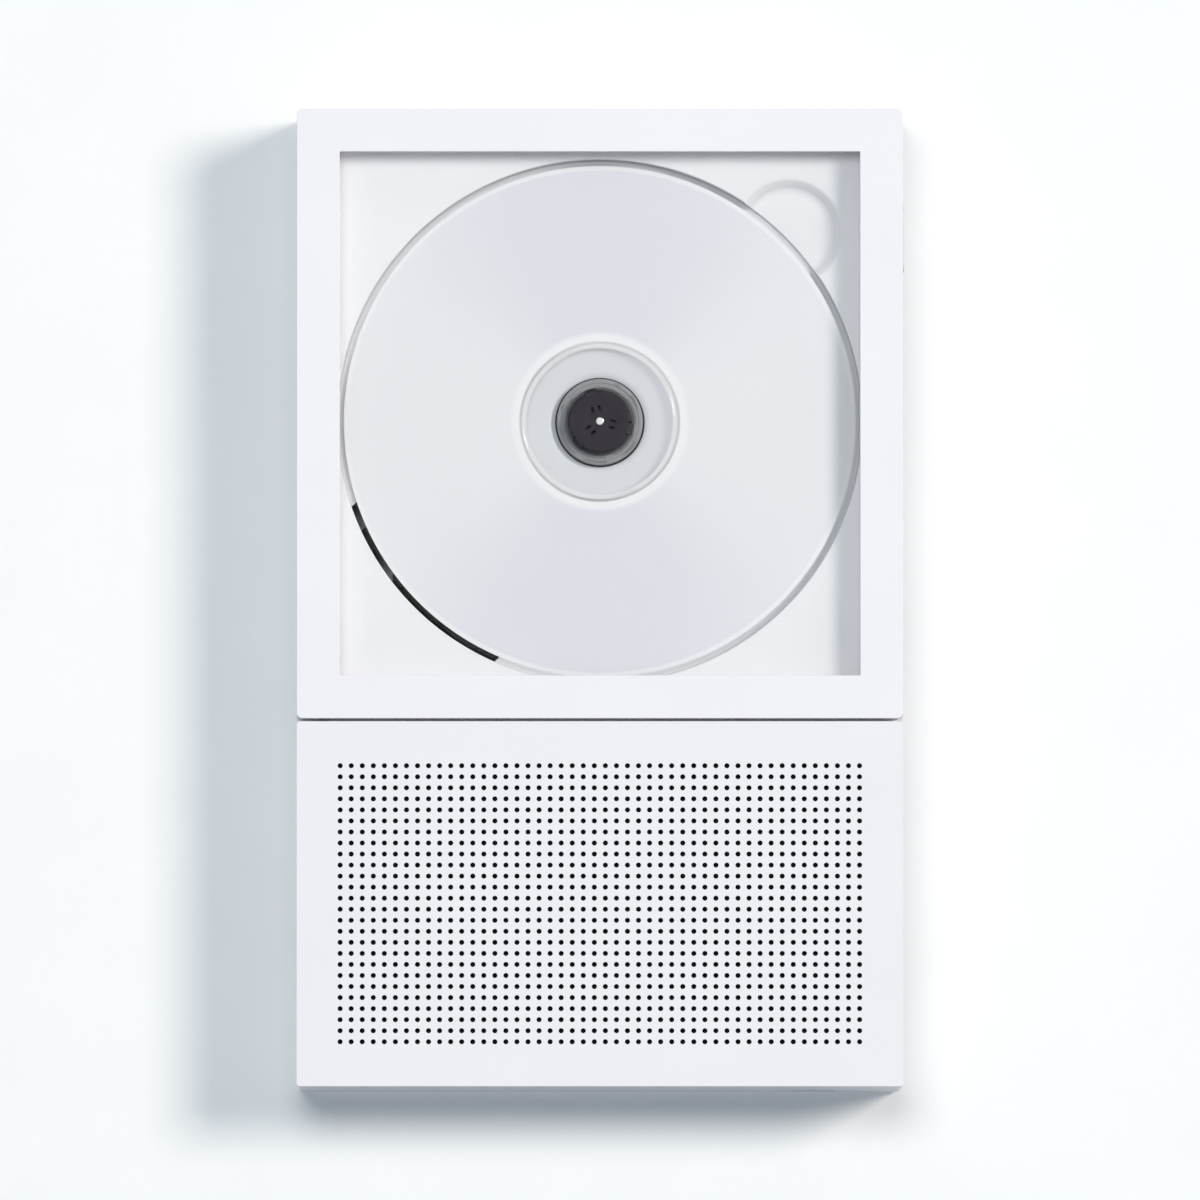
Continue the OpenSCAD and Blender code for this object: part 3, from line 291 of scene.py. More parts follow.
def pick(piece, kind, test):
    """Selects the faces or edges that pass a test of their middle in mm and of their
    direction, which is (right, up, out) too: a face's normal or an edge's own."""
    bpy.ops.mesh.select_mode(type=kind)
    mesh = bmesh.from_edit_mesh(piece.data)
    for group in (mesh.faces, mesh.edges, mesh.verts):
        for part in group:
            part.select = False
    for part in mesh.faces if kind == "FACE" else mesh.edges:
        if kind == "FACE":
            centre = part.calc_center_median()
            facing = part.normal
        else:
            centre = (part.verts[0].co + part.verts[1].co) / 2
            facing = (part.verts[0].co - part.verts[1].co).normalized()
        if test(Vector((centre.x / MM, centre.z / MM, -centre.y / MM)),
                Vector((facing.x, facing.z, -facing.y))):
            part.select_set(True)
    bmesh.update_edit_mesh(piece.data)


def near(a, b, room=0.02):
    return abs(a - b) < room


def push(out):
    """Extrudes what is selected by so many mm outward."""
    bpy.ops.mesh.extrude_region_move(TRANSFORM_OT_translate={"value": tuple(place(0, 0, out))})


def round_edges(piece, test, width, segments=4):
    """Bevels the edges that pass a test by a width in mm."""
    pick(piece, "EDGE", test)
    bpy.ops.mesh.bevel(offset=width * MM, segments=segments, profile=0.5, clamp_overlap=True)


def cut(piece, cutter, operation="DIFFERENCE"):
    """Cuts a piece with another and removes the cutter."""
    apart()
    bpy.context.view_layer.objects.active = piece
    piece.select_set(True)
    modifier = piece.modifiers.new("cut", "BOOLEAN")
    modifier.operation, modifier.object, modifier.solver = operation, cutter, "EXACT"
    bpy.ops.object.modifier_apply(modifier=modifier.name)
    bpy.data.objects.remove(cutter)


def close(piece, body, finish, slot, *stands_for, angle=30):
    """Ends a piece: closed, faces outward, smooth below an angle, finished and riding."""
    bpy.context.view_layer.objects.active = piece
    if bpy.context.mode != "EDIT_MESH":
        bpy.ops.object.select_all(action="DESELECT")
        piece.select_set(True)
        bpy.ops.object.mode_set(mode="EDIT")
    bpy.ops.mesh.select_all(action="SELECT")
    bpy.ops.mesh.remove_doubles(threshold=1e-6)
    bpy.ops.mesh.normals_make_consistent(inside=False)
    bpy.ops.object.mode_set(mode="OBJECT")
    bpy.ops.object.select_all(action="DESELECT")
    piece.select_set(True)
    bpy.ops.object.shade_smooth_by_angle(angle=math.radians(angle))
    flats = piece.modifiers.new("flats", "WEIGHTED_NORMAL")
    flats.keep_sharp = True
    bpy.ops.object.modifier_apply(modifier=flats.name)
    piece.data.materials.clear()
    piece.data.materials.append(finish.material)
    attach(piece, body)
    if stands_for:
        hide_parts(*stands_for)
    return piece


def object_mode():
    bpy.ops.object.mode_set(mode="OBJECT")


side, top, lid_low, lid_back = 70.0, 113.0, -28.0, 32.0
lid_mid, lid_half = (top + lid_low) / 2, (top - lid_low) / 2
border, ledge, pane_front = 9.9, 2.0, 35.2
opening_x, opening_y = side - border, lid_half - border
corner_r, edge_r, hinge_edge_r = 1.4, 0.7, 1.85
opening_corner_r, opening_edge_r, step_corner_r = 0.35, 0.3, 1.0
white = (0.905, 0.883, 0.908)
lid_white = moulded("lid_white", white, 0.3, grain=2.2, depth=0.003, coat=0.15)

lid = block("lid_border", (-side, lid_low, lid_back), (side, top, front))
pick(lid, "FACE", lambda c, n: n.z < -0.9)
bpy.ops.mesh.inset(thickness=(border - ledge) * MM)
push(pane_front - lid_back)
bpy.ops.mesh.inset(thickness=ledge * MM)
pick(lid, "FACE", lambda c, n: n.z > 0.9)
bpy.ops.mesh.inset(thickness=border * MM)


def lid_faces(c, n):
    """The two faces at the lid's middle, between which the opening goes through."""
    return abs(n.z) > 0.9 and near(c.x, 0, 1) and near(c.y, lid_mid, 1)


pick(lid, "FACE", lid_faces)
bpy.ops.mesh.bridge_edge_loops()


def corners(across, high, middle):
    """A test for the four edges that run outward at the corners of a rectangle."""
    return lambda c, n: abs(n.z) > 0.9 and near(abs(c.x), across) and near(abs(c.y - middle), high)


def front_edge(c, n):
    return near(c.z, front) and abs(n.z) < 0.1


def at_rim(c, middle, half, room=1.5):
    """Whether a point lies near the rim of a form that is as wide as the player."""
    return abs(c.x) > side - room or abs(c.y - middle) > half - room


def in_opening(c):
    return abs(c.x) <= opening_x + 0.1 and abs(c.y - lid_mid) <= opening_y + 0.1


def hinge_edge(c, n):
    """The lid's upright back edge at its left, which turns past the housing."""
    return near(c.z, lid_back) and near(c.x, -side, 0.6) and abs(n.z) < 0.1 and abs(n.y) > 0.9


round_edges(lid, corners(opening_x, opening_y, lid_mid), opening_corner_r, 3)
round_edges(lid, corners(opening_x + ledge, opening_y + ledge, lid_mid), step_corner_r, 4)
round_edges(lid, corners(side, lid_half, lid_mid), corner_r, 7)
round_edges(lid, lambda c, n: front_edge(c, n) and at_rim(c, lid_mid, lid_half), edge_r, 5)
round_edges(lid, lambda c, n: front_edge(c, n) and in_opening(c), opening_edge_r, 3)
round_edges(lid, hinge_edge, hinge_edge_r, 8)

hinge_x, hinge_out, hinge_ups = -67.8, 33.9, (99.0, -14.0)
pocket_half, pocket_to_x, pocket_to_out = 3, hinge_x + 1.9, hinge_out + 2.2
for up in hinge_ups:
    cut(lid, block("pocket", (-side - 1, up - pocket_half, lid_back - 1),
                   (pocket_to_x, up + pocket_half, pocket_to_out)))
pin_bore_r, recess_deep = 0.8, 0.8
for low, high in ((91.0, 114.0), (-29.0, -6.0)):
    bore_at = (hinge_x, (low + high) / 2, hinge_out)
    cut(lid, disk("bore", bore_at, pin_bore_r, high - low, 24, (0, 0, 0)))
plate_low, plate_high = (63.3, 35.5), (67.3, 49.5)
cut(lid, block("plate_recess", (*plate_low, lid_back - 1), (*plate_high, lid_back + recess_deep)))
close(lid, "lid", lid_white, "lid_white", "lid_frame")


# The window, a flat pane of clear acrylic bonded to the step in the lid, with polished
# faces and a small chamfer round its edge.
glass = Finish("window_acrylic", Base_Color=(1, 1, 1, 1), Roughness=0.02, IOR=1.49)
shine = glass.start.node("ShaderNodeBsdfGlossy", None, {"Color": (1, 1, 1, 1), "Roughness": 0.02})
through = glass.start.node("ShaderNodeBsdfTransparent", None, {"Color": (0.985, 0.99, 0.99, 1)})
edge_on = glass.start.node("ShaderNodeFresnel", None, {"IOR": 1.42})
glass.surface(edge_on * edge_on * 2, through, shine)
pane_gap, pane_t, pane_chamfer = 0.15, 1.5, 0.15
half_w, half_h = opening_x + ledge - pane_gap, opening_y + ledge - pane_gap
pane = block("window_pane", (-half_w, lid_mid - half_h, pane_front - pane_t),
             (half_w, lid_mid + half_h, pane_front))
round_edges(pane, lambda c, n: abs(n.z) > 0.9, step_corner_r, 5)
round_edges(pane, lambda c, n: abs(n.z) < 0.1, pane_chamfer, 1)
close(pane, "lid", glass, "window_clear", "lid_window")


# The speaker panel, one satin white moulding with rows of round holes. One hole in its
# square is drawn, repeated over the field, and its edge drawn out to the panel's.
columns, rows, pitch, hole_r, hole_sides = 48, 26, 2.55, 0.6, 16
panel_low, panel_high, skirt_back, panel_t = -113.0, -28.7, 31.7, 1.9
panel_mid = (panel_low + panel_high) / 2
half_field = Vector((columns * pitch / 2, rows * pitch / 2))
half_panel = Vector((side, (panel_high - panel_low) / 2))
first_hole = (pitch / 2 - half_field.x, panel_mid + pitch / 2 - half_field.y, front)
bpy.ops.object.select_all(action="DESELECT")
bpy.ops.mesh.primitive_circle_add(
    vertices=hole_sides, radius=hole_r * MM, location=place(*first_hole), rotation=(math.pi / 2, 0, 0))
panel = start("speaker_panel")
bpy.ops.mesh.select_all(action="DESELECT")
bpy.ops.mesh.primitive_plane_add(
    size=pitch * MM, location=place(*first_hole), rotation=(math.pi / 2, 0, 0))
bpy.ops.mesh.delete(type="ONLY_FACE")


def square_edge(c, n):
    return max(abs(c.x - first_hole[0]), abs(c.y - first_hole[1])) > pitch * 0.45


pick(panel, "EDGE", square_edge)
bpy.ops.mesh.subdivide(number_cuts=hole_sides // 4 - 1)
bpy.ops.mesh.select_all(action="SELECT")
bpy.ops.mesh.bridge_edge_loops()
object_mode()
for count, step in ((columns, (pitch * MM, 0, 0)), (rows, (0, 0, pitch * MM))):
    repeat = panel.modifiers.new("repeat", "ARRAY")
    repeat.count = count
    repeat.use_relative_offset = False
    repeat.use_constant_offset = True
    repeat.constant_offset_displace = step
    repeat.use_merge_vertices = True
    repeat.merge_threshold = 1e-5
    bpy.ops.object.modifier_apply(modifier=repeat.name)
bpy.ops.object.mode_set(mode="EDIT")


def field_edge(c, n):
    return near(abs(c.x), half_field.x) or near(abs(c.y - panel_mid), half_field.y)


pick(panel, "EDGE", field_edge)
bpy.ops.mesh.extrude_region_move()
bpy.ops.transform.resize(value=(half_panel.x / half_field.x, 1, half_panel.y / half_field.y),
                         center_override=place(0, panel_mid, front))
push(skirt_back - front)
round_edges(panel, corners(side, half_panel.y, panel_mid), corner_r, 7)
round_edges(panel, lambda c, n: front_edge(c, n) and at_rim(c, panel_mid, half_panel.y, corner_r * 0.3),
            edge_r, 5)
bpy.ops.mesh.select_all(action="SELECT")
bpy.ops.mesh.remove_doubles(threshold=1e-6)
bpy.ops.mesh.normals_make_consistent(inside=False)
if sum(f.normal.y * f.calc_area() for f in bmesh.from_edit_mesh(panel.data).faces) > 0:
    bpy.ops.mesh.flip_normals()
object_mode()
thick = panel.modifiers.new("wall", "SOLIDIFY")
thick.thickness = panel_t * MM
thick.offset = -1
thick.use_even_offset = False
bpy.ops.object.modifier_apply(modifier=thick.name)
panel_white = moulded("panel_white", (0.882, 0.861, 0.884), 0.3, grain=2.2, depth=0.003, coat=0.15)
close(panel, "housing", panel_white, "panel_white", "speaker_grille")


# Black cloth, glued flat behind the holes: an open plain weave that lets the sound out. It
# reaches a little past the field of holes on each side, where the glue holds it.
cloth_w, cloth_h, cloth_t, thread_pitch = 125.2 * MM, 69.1 * MM, 0.3 * MM, 0.42
cloth_at = place(0, panel_mid, 34.75)
bpy.ops.object.select_all(action="DESELECT")
bpy.ops.mesh.primitive_grid_add(
    x_subdivisions=50, y_subdivisions=28, size=1, location=cloth_at, rotation=(math.pi / 2, 0, 0))
cloth = start("speaker_cloth")
bpy.ops.transform.resize(value=(cloth_w, 1, cloth_h), center_override=cloth_at)
object_mode()
thick = cloth.modifiers.new("cloth", "SOLIDIFY")
thick.thickness = cloth_t
thick.offset = 0
bpy.ops.object.modifier_apply(modifier=thick.name)
woven = Finish("cloth_black", Roughness=0.9, Specular_IOR_Level=0.15)
threads = woven.axis("X").waves(thread_pitch) * woven.axis("Z").waves(thread_pitch) * 0.5 + 0.5
woven.set(Base_Color=threads.blend((0.007, 0.007, 0.008), (0.022, 0.022, 0.023)))
woven.bump(threads, 0.05)
close(cloth, "housing", woven, "cloth_black", "grille_cloth")


# The deck, one white moulding under the lid: a floor with a round well for the disc, a scoop
# for a fingertip, an opening for the hub and one for the pickup. Four screws hold it.
def turned(name, at, profile, sides=96):
    """Starts a round piece: a line of (radius, out) points, spun about an axis that points out."""
    apart()
    first_r, first_out = profile[0]
    bpy.ops.mesh.primitive_plane_add(size=MM, location=place(at[0] + first_r, at[1], first_out))
    piece = start(name)
    bpy.ops.mesh.select_mode(type="VERT")
    bpy.ops.mesh.select_all(action="SELECT")
    bpy.ops.mesh.merge(type="CENTER")
    for (r0, out0), (r1, out1) in zip(profile, profile[1:]):
        step = tuple(place(r1 - r0, 0, out1 - out0))
        bpy.ops.mesh.extrude_vertices_move(TRANSFORM_OT_translate={"value": step})
    bpy.ops.mesh.select_all(action="SELECT")
    bpy.ops.mesh.spin(steps=sides, angle=2 * math.pi, center=place(*at, 0), axis=(0, 1, 0))
    bpy.ops.mesh.select_all(action="SELECT")
    bpy.ops.mesh.remove_doubles(threshold=1e-6)
    bpy.ops.mesh.normals_make_consistent(inside=False)
    return piece


def arc(r, out, size, first, last, steps):
    """Points on a round of a profile about (r, out), from a first to a last angle."""
    angles = [math.radians(first + (last - first) * i / steps) for i in range(steps + 1)]
    return [(r + size * math.cos(a), out + size * math.sin(a)) for a in angles]


deck_x, deck_low, deck_high, tab_x, tab_high = 66, -24.6, 104.6, 59.6, 106
disc_up, floor_out, well_out, well_r, deck_t = 41.1, 28.2, 24.8, 60.7, 1.8
spindle, scoop, scoop_cup_r = (0, disc_up), (43.7, 84.8), 13.7
deck_back, cup_top = well_out - deck_t, floor_out - deck_t / 2
cup_out, cup_deep = (deck_back + cup_top) / 2, cup_top - deck_back
travel, pickup_from, pickup_to, pickup_half, clear_r = math.radians(222.5), 14.4, 64, 24.4, 21.4


def along_travel(u, v):
    """A point of the deck from its distances along and across the pickup's path."""
    return (u * math.cos(travel) - v * math.sin(travel),
            disc_up + u * math.sin(travel) + v * math.cos(travel))


deck = block("white_deck", (-deck_x, deck_low, floor_out - deck_t), (deck_x, deck_high, floor_out))
cut(deck, block("tab", (-tab_x, 104, floor_out - deck_t), (tab_x, tab_high, floor_out)), "UNION")
cut(deck, disk("cup", (*spindle, cup_out), well_r + 1.6, cup_deep, 180), "UNION")
cut(deck, disk("cup", (*scoop, cup_out), scoop_cup_r, cup_deep), "UNION")
post_r, post_bore_r, post_out, post_long = 3.2, 0.85, 22.8, 2.4
for u, v in ((-14, -23), (-14, 24), (44, -26), (44, 30.5)):
    cut(deck, disk("post", (*along_travel(u, v), post_out), post_r, post_long, 32), "UNION")
    cut(deck, disk("post_bore", (*along_travel(u, v), post_out - 0.3), post_bore_r, 3, 24))
well = turned("well", spindle, [(0, well_out), *arc(well_r - 0.5, well_out + 0.5, 0.5, -90, 0, 4),
                                (well_r, floor_out - 0.25), (well_r + 0.3, floor_out + 0.05),
                                (well_r + 0.3, floor_out + 1), (0, floor_out + 1)], 240)
cut(deck, well)
hub_opening_r, funnel_r = 10.35, 12.1
cut(deck, turned("hub_opening", spindle, [
    (0, deck_back - 1), (hub_opening_r, deck_back - 1), (hub_opening_r, well_out - 0.9),
    (funnel_r, well_out + 0.02), (funnel_r, well_out + 1), (0, well_out + 1)], 120))
cut(deck, turned("dish", scoop, [
    (0, 25.7), (8.6, 25.7), *arc(9.0, 28.1, 2.4, -90, -25, 6), *arc(12.9, 26.9, 1.32, 150, 90, 5),
    (12.9, floor_out + 1), (0, floor_out + 1)], 120))
pickup_opening = block("pickup_opening", (pickup_from, -pickup_half, deck_back - 1),
                       (pickup_to, pickup_half, floor_out - deck_t - 0.1), travel, (*spindle, 0))
cut(pickup_opening, disk("clear_middle", (*spindle, well_out), clear_r, 8, 128))
cut(deck, pickup_opening)
deck_screw_x, deck_screw_r = 65.3, 0.9
for up in (60.1, 0.1):
    for right in (-deck_screw_x, deck_screw_x):
        cut(deck, disk("screw_hole", (right, up, floor_out), deck_screw_r, 8, 24))
deck_white = moulded("deck_white", (0.818, 0.808, 0.832), 0.4, grain=2.6, depth=0.004)
close(deck, "housing", deck_white, "deck_white", "disc_deck")


# The disc: a clear polycarbonate plate with a stacking ring moulded on its back. A silver
# layer lies just under the face of its label side and leaves the rim and the middle clear.
# Its two edges throw no shadow, so the deck shows bright through both, as photographed.
def round_spindle(finish):
    """How far to the right of, above and away from the disc's axis a point lies, squared."""
    right = finish.axis("X")
    up = finish.axis("Z") - disc_up * MM
    right, up = right * right, up * up
    return right, up, right + up


polycarbonate = Finish("disc_polycarbonate", Base_Color=(1, 1, 1, 1), Roughness=0.03, IOR=1.58)
gloss = polycarbonate.start.node("ShaderNodeBsdfGlossy", None, {"Color": (1, 1, 1, 1), "Roughness": 0.04})
tint = polycarbonate.start.node("ShaderNodeBsdfTransparent", None, {"Color": (0.992, 0.995, 1, 1)})
grazing = polycarbonate.start.node("ShaderNodeFresnel", None, {"IOR": 1.3})
reach = round_spindle(polycarbonate)[2].maths("SQRT")
# Over the stacking ring the mirror share is raised. This is a painted highlight, in place of the light
# that the ring's curved faces bend, which the clear shader does not show.
painted_ring_highlight = reach.step(16.8 * MM, 17.2 * MM) - reach.step(17.8 * MM, 18.1 * MM)
polycarbonate.surface(grazing * 0.6 + painted_ring_highlight * 0.3, tint, gloss)
disc_back, disc_front, disc_r, disc_hole_r = 26.6, 27.8, 60, 7.5
ring_back = disc_back - 0.19
disc_body = turned("disc_body", spindle, [
    (disc_hole_r, disc_back + 0.15), (disc_hole_r + 0.12, disc_back),
    (16.95, disc_back), (17.3, ring_back), (17.75, ring_back), (18.1, disc_back),
    (disc_r - 0.2, disc_back), (disc_r, disc_back + 0.2), (disc_r, disc_front - 0.2),
    (disc_r - 0.2, disc_front), (disc_hole_r + 0.25, disc_front), (disc_hole_r, disc_front - 0.25),
    (disc_hole_r, disc_back + 0.15)], 240)
close(disc_body, "spindle", polycarbonate, "disc_silver", "disc")
silver = Finish("disc_silver", Metallic=0.3, Specular_IOR_Level=0.3)
xx, zz, rr = round_spindle(silver)
reach = rr.maths("SQRT")
# The silver is painted lighter to the left and right of the hub and darker above and below it. This
# painted sheen stands in for the light a disc's grooves spread in streaks.
sheen_sector = (xx - zz).maths("DIVIDE", rr)
painted_sheen = sheen_sector.step(-0.9, 0.9).blend((0.72, 0.725, 0.765), (0.785, 0.785, 0.805))
mirror = 1 - reach.step(19.6 * MM, 21.2 * MM)
rim = reach.step(58.0 * MM, 58.3 * MM)
bands_and_painted_sheen = (mirror + rim * 0.7).blend(painted_sheen, (0.84, 0.83, 0.845))
silver.set(Base_Color=bands_and_painted_sheen, Roughness=0.5 - mirror * 0.14 + silver.noise(0.02, 2) * 0.04)
silver.bump(reach.waves(0.9), 0.0006)
layer_back, layer_front = 27.72, 27.76
for name, inner, outer, shades in (("disc_layer_inside", 18.6, 23, False),
                                   ("disc_layer", 23, 57.6, True),
                                   ("disc_layer_edge", 57.6, 59.2, False)):
    layer = turned(name, spindle, [(inner, layer_back), (outer, layer_back), (outer, layer_front),
                                   (inner, layer_front), (inner, layer_back)], 240)
    layer.visible_shadow = shades
    close(layer, "spindle", silver, "disc_silver", "disc")


# The turntable with its rubber pad, and the hub that clips the disc on by three sprung claws.
# The motor's steel shaft comes through its middle.
pad_back, groove_out = disc_back - 0.4, disc_back - 0.18
pad = turned("ribbed_pad", spindle, [
    (7.95, pad_back), (7.95, disc_back - 0.08), (8.05, disc_back), (8.45, disc_back),
    (8.6, groove_out), (8.95, groove_out), (9.1, disc_back), (9.6, disc_back),
    (9.85, disc_back - 0.08), (9.98, disc_back - 0.25), (9.98, pad_back), (7.95, pad_back)])
rubber = moulded("pad_rubber", (0.33, 0.325, 0.34), 0.55, grain=4, depth=0.01)
close(pad, "spindle", rubber, "pad_black", "turntable_pad", angle=50)

hub_r, hub_top, hub_back, hub_bore_r, hub_round = 7.35, 29.8, 26.25, 1.02, 0.8
hub = turned("clip_hub", spindle, [
    (hub_bore_r, hub_back), (hub_r, hub_back), (hub_r, hub_top - hub_round),
    *arc(hub_r - hub_round, hub_top - hub_round, hub_round, 0, 90, 6), (5.4, hub_top),
    (5.1, hub_top - 0.04), (2.3, hub_top - 0.28), (1.9, hub_top - 0.3),
    (hub_bore_r, hub_top - 0.3), (hub_bore_r, hub_back)])
claw_half, pocket_from, pocket_low, pocket_high = 1.6, 4.6, 27.4, 28.9
notch_half, notch_from, notch_low = claw_half + 0.05, 6.5, 28.6
slot_half, slot_off, slot_from, slot_to, slot_deep = 0.32, 0.8, 2.3, 3.6, 1.6
past_side, past_top = 10, 31
for degrees in (107, 225, 346):
    turn, axis = math.radians(degrees), (*spindle, 0)
    cut(hub, block("claw_pocket", (pocket_from, -claw_half, pocket_low),
                   (past_side, claw_half, pocket_high), turn, axis))
    cut(hub, block("claw_notch", (notch_from, -notch_half, notch_low),
                   (past_side, notch_half, past_top), turn, axis))
    for across in (-slot_off, slot_off):
        cut(hub, block("slot", (slot_from, across - slot_half, hub_top - slot_deep),
                       (slot_to, across + slot_half, past_top), turn, axis))
charcoal = moulded("hub_charcoal", (0.034, 0.030, 0.038), 0.45, grain=1.6, depth=0.03)
charcoal.set(Specular_IOR_Level=0.1)
close(hub, "spindle", charcoal, "hub_charcoal", "clamp_hub")

shaft = turned("spindle_tip", spindle, [
    (0, 11.6), (0.85, 11.6), (1, 11.75), *arc(0.7, 29.6, 0.3, 0, 90, 4), (0, 29.9)], 48)


def metal(name, colour, roughness, stretch=None):
    """Bare or plated metal, with fine marks from how it was rolled or turned."""
    made = Finish(name, Metallic=1.0)
    marks = made.noise(5.0, stretch=stretch)
    made.set(Base_Color=marks.step(0.3, 0.7).blend([c * 0.93 for c in colour], colour))
    made.set(Roughness=marks * 0.16 + (roughness - 0.08))
    return made.bump(marks, 0.002)


ground = metal("ground_steel", (0.80, 0.80, 0.80), 0.22, (1, 0.05, 1))
close(shaft, "spindle", ground, "pin_steel", "spindle_shaft")


def dress(finish, *names):
    """Gives solids that keep their shape their finish."""
    for name in names:
        solid = nodes[name]
        if not solid.material_slots:
            solid.data.materials.append(finish.material)
        for slot in solid.material_slots:
            slot.material = finish.material


dress(moulded("table_grey", (0.11, 0.113, 0.12), 0.45, grain=3, depth=0.008), "turntable")
dress(moulded("claw_charcoal", (0.02, 0.02, 0.024), 0.35, grain=3, depth=0.006), "clamp_claws")


# The housing: a mid frame that carries everything and a rear cover behind it, both moulded
# in white ABS. They meet in a fine seam round the sides.
def from_solid(name, node):
    """Starts a piece from a solid's own mesh, its triangles joined into whole flat faces."""
    apart()
    piece = bpy.data.objects.new(name, nodes[node].data.copy())
    bpy.context.scene.collection.objects.link(piece)
    bpy.context.view_layer.objects.active = piece
    piece.select_set(True)
    bpy.ops.object.mode_set(mode="EDIT")
    bpy.ops.mesh.select_all(action="SELECT")
    bpy.ops.mesh.remove_doubles(threshold=1e-6)
    bpy.ops.mesh.dissolve_limited(angle_limit=math.radians(0.5))
    return piece


seam_out, seam_chamfer = 13.0, 0.18


def seam_edge(c, n):
    return near(c.z, seam_out) and abs(n.z) < 0.1 and at_rim(c, 0, top, 1.2)


body_white = moulded("body_white", white, 0.34, grain=2.4, depth=0.004, coat=0.1)
for name, node in (("mid_shell", "mid_frame"), ("back_shell", "rear_cover")):
    shell = from_solid(name, node)
    round_edges(shell, seam_edge, seam_chamfer, 2)
    close(shell, "housing", body_white, "body_white", node)


# The keys: five on the top edge and the power key on the right side, white caps with round
# ends, each with a flange behind the wall that keeps it in.
key_out, key_half, flange_half, key_pitch, power_up = 22.0, 2.5, 3.3, 18, 83.6
key_deep, key_proud, power_proud, key_reach, power_reach = 3.6, 0.8, 0.4, 6.5, 7.6
round_end, key_edge_r = 0.999, 0.32


def key_cap(name, low, proud_to, half):
    """A cap that points up from low to proud_to, with its flange. Half its length is given."""
    cap = block(name, (-half, low + 0.5, key_out - key_half), (half, proud_to, key_out + key_half))
    round_edges(cap, lambda c, n: abs(n.y) > 0.9, key_half * round_end, 8)
    round_edges(cap, lambda c, n: near(c.y, proud_to) and abs(n.y) < 0.1, key_edge_r, 4)
    flange = block("flange", (-half - 1, low, key_out - flange_half),
                   (half + 1, low + 1, key_out + flange_half))
    round_edges(flange, lambda c, n: abs(n.y) > 0.9, flange_half * round_end, 8)
    cut(cap, flange, "UNION")
    return cap


key_white = moulded("key_white", white, 0.3, grain=3, depth=0.003, coat=0.15)
first_key = key_cap("key", top - key_deep, top + key_proud, key_reach)
for i, word in enumerate(("previous", "play", "next", "volume_down", "volume_up")):
    cap = first_key.copy()
    cap.data = first_key.data.copy()
    cap.name = cap.data.name = word + "_cap"
    cap.data.transform(Matrix.Translation(place(key_pitch * (i - 2), 0, 0)))
    bpy.context.scene.collection.objects.link(cap)
    close(cap, word + "_key", key_white, "key_white", "key_" + word)
bpy.data.objects.remove(first_key)

power_cap = key_cap("power_cap", side - key_deep, side + power_proud, power_reach)
power_cap.data.transform(Matrix.Translation(place(0, power_up, 0)) @ Matrix.Rotation(math.pi / 2, 4, "Y"))
close(power_cap, "power", key_white, "key_white", "power_key")


# The steel parts that hold it together: the painted wall bracket, the case screws in their
# deep holes, the smaller screws inside, the hinge pins, and the catch's magnet and plate.
bracket_steel = metal("bracket_steel", (0.62, 0.63, 0.64), 0.34, (1, 1, 12))
bracket_steel.set(Metallic=0.3)
dress(bracket_steel, "wall_bracket")
screw_x, screw_ups = 65.2, (108.2, -28.35, -108.2)
head_back, head_front, head_r, shank_r, screw_tip, round_r = 7.6, 9.0, 1.9, 0.95, 24.0, 0.6
cross_long, cross_wide, cross_deep = 1.15, 0.22, 0.7
screw = turned("case_screw", (0, 0), [
    (0, head_back), (head_r - round_r, head_back),
    *arc(head_r - round_r, head_back + round_r, round_r, -90, 0, 4),
    (head_r, head_front), (shank_r, head_front), (shank_r, screw_tip - 0.6),
    (0.5, screw_tip), (0, screw_tip)], 40)
for half_x, half_up in ((cross_long, cross_wide), (cross_wide, cross_long)):
    cut(screw, block("recess", (-half_x, -half_up, 7), (half_x, half_up, head_back + cross_deep)))
bpy.ops.object.select_all(action="DESELECT")
for right in (-screw_x, screw_x):
    for up in screw_ups:
        one = screw.copy()
        one.data = screw.data.copy()
        one.data.transform(Matrix.Translation(place(right, up, 0)))
        bpy.context.scene.collection.objects.link(one)
        one.select_set(True)
        bpy.context.view_layer.objects.active = one
bpy.data.objects.remove(screw)
bpy.ops.object.join()
case_screws = bpy.context.object
case_screws.name = case_screws.data.name = "cross_head_screws"
screw_steel = metal("screw_steel", (0.45, 0.45, 0.46), 0.3)
close(case_screws, "housing", screw_steel, "screw_steel", "case_screws")
dress(screw_steel, "deck_screws", "baffle_screws", "driver_screws", "board_screws", "chassis_screws")
dress(ground, "hinge_pins")
dress(metal("magnet_nickel", (0.60, 0.58, 0.54), 0.2), "catch_magnet")
dress(metal("plate_steel", (0.66, 0.66, 0.67), 0.3, (1, 1, 10)), "catch_plate")


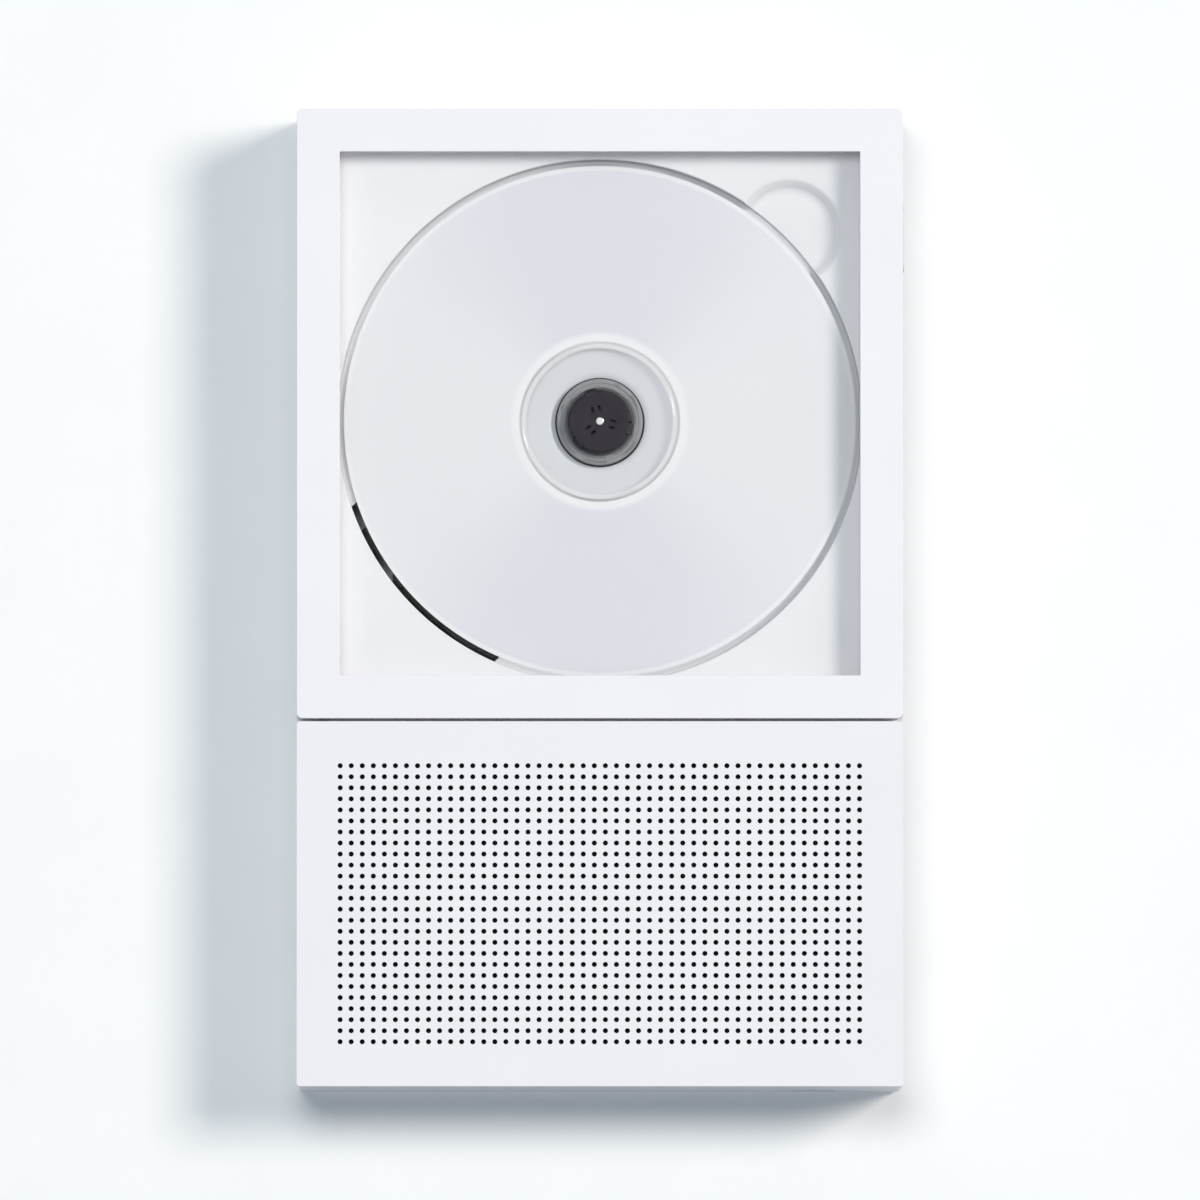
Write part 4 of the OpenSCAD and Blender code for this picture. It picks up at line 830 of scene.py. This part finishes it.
# The speakers behind the cloth: pressed frames and magnets, paper cones on rubber
# surrounds, and the black baffle that they are screwed to.
baffle_black = moulded("baffle_black", (0.022, 0.022, 0.024), 0.5, grain=2, depth=0.01)
basket_black = moulded("basket_black", (0.03, 0.03, 0.032), 0.38, grain=3, depth=0.004)
paper = moulded("cone_paper", (0.028, 0.027, 0.027), 0.8, grain=1.2, depth=0.03)
surround = moulded("surround_rubber", (0.016, 0.016, 0.017), 0.5, grain=4, depth=0.006)
ferrite = moulded("ferrite_grey", (0.06, 0.06, 0.063), 0.6, grain=2, depth=0.02)
dress(baffle_black, "speaker_baffle")
dress(basket_black, "driver_left_frame", "driver_right_frame")
dress(paper, "driver_left_cone", "driver_right_cone")
dress(surround, "driver_left_suspension", "driver_right_suspension")
dress(ferrite, "driver_left_magnet", "driver_right_magnet")


# The disc mechanism behind the deck: a black sprung chassis on rubber dampers, a spindle
# motor, and the pickup on its rods, driven by a screw and a small motor.
chassis_black = moulded("chassis_black", (0.018, 0.018, 0.02), 0.45, grain=1.5, depth=0.012)
dress(chassis_black, "traverse_chassis", "pickup_carriage")
dress(moulded("damper_rubber", (0.05, 0.05, 0.053), 0.7, grain=4, depth=0.01), "chassis_dampers")
dress(metal("motor_steel", (0.66, 0.66, 0.67), 0.28, (1, 8, 1)), "spindle_motor", "feed_motor")
dress(ground, "guide_rods", "feed_screw")
lens = Finish("lens_blue", Roughness=0.03, Coat_Weight=1.0, Coat_Roughness=0.02)
lens.set(Base_Color=lens.noise(0.3, 1).blend((0.10, 0.16, 0.42), (0.16, 0.12, 0.45)))
dress(lens, "pickup_lens")


# The boards: green fibreglass under a glossy solder mask, with their chips and capacitors,
# the switches behind the keys, the two sockets and the foil-wrapped battery.
green = Finish("board_green", Roughness=0.3, Coat_Weight=0.4)
traces = (green.axis("X").waves(1.9) * green.axis("Z").waves(2.3)).step(0.62, 0.7)
green.set(Base_Color=traces.blend((0.004, 0.028, 0.013), (0.006, 0.045, 0.02)))
green.bump(traces, 0.03)
dress(green, "main_board", "charge_board", "key_board", "power_board")
dress(moulded("part_black", (0.02, 0.02, 0.022), 0.4, grain=3, depth=0.005),
      "main_board_parts", "key_switches", "headphone_jack")
dress(metal("socket_steel", (0.72, 0.72, 0.73), 0.25, (1, 1, 6)), "usb_socket")
foil = metal("battery_foil", (0.70, 0.71, 0.73), 0.35)
foil.bump(foil.noise(0.25), 0.15)
dress(foil, "battery")
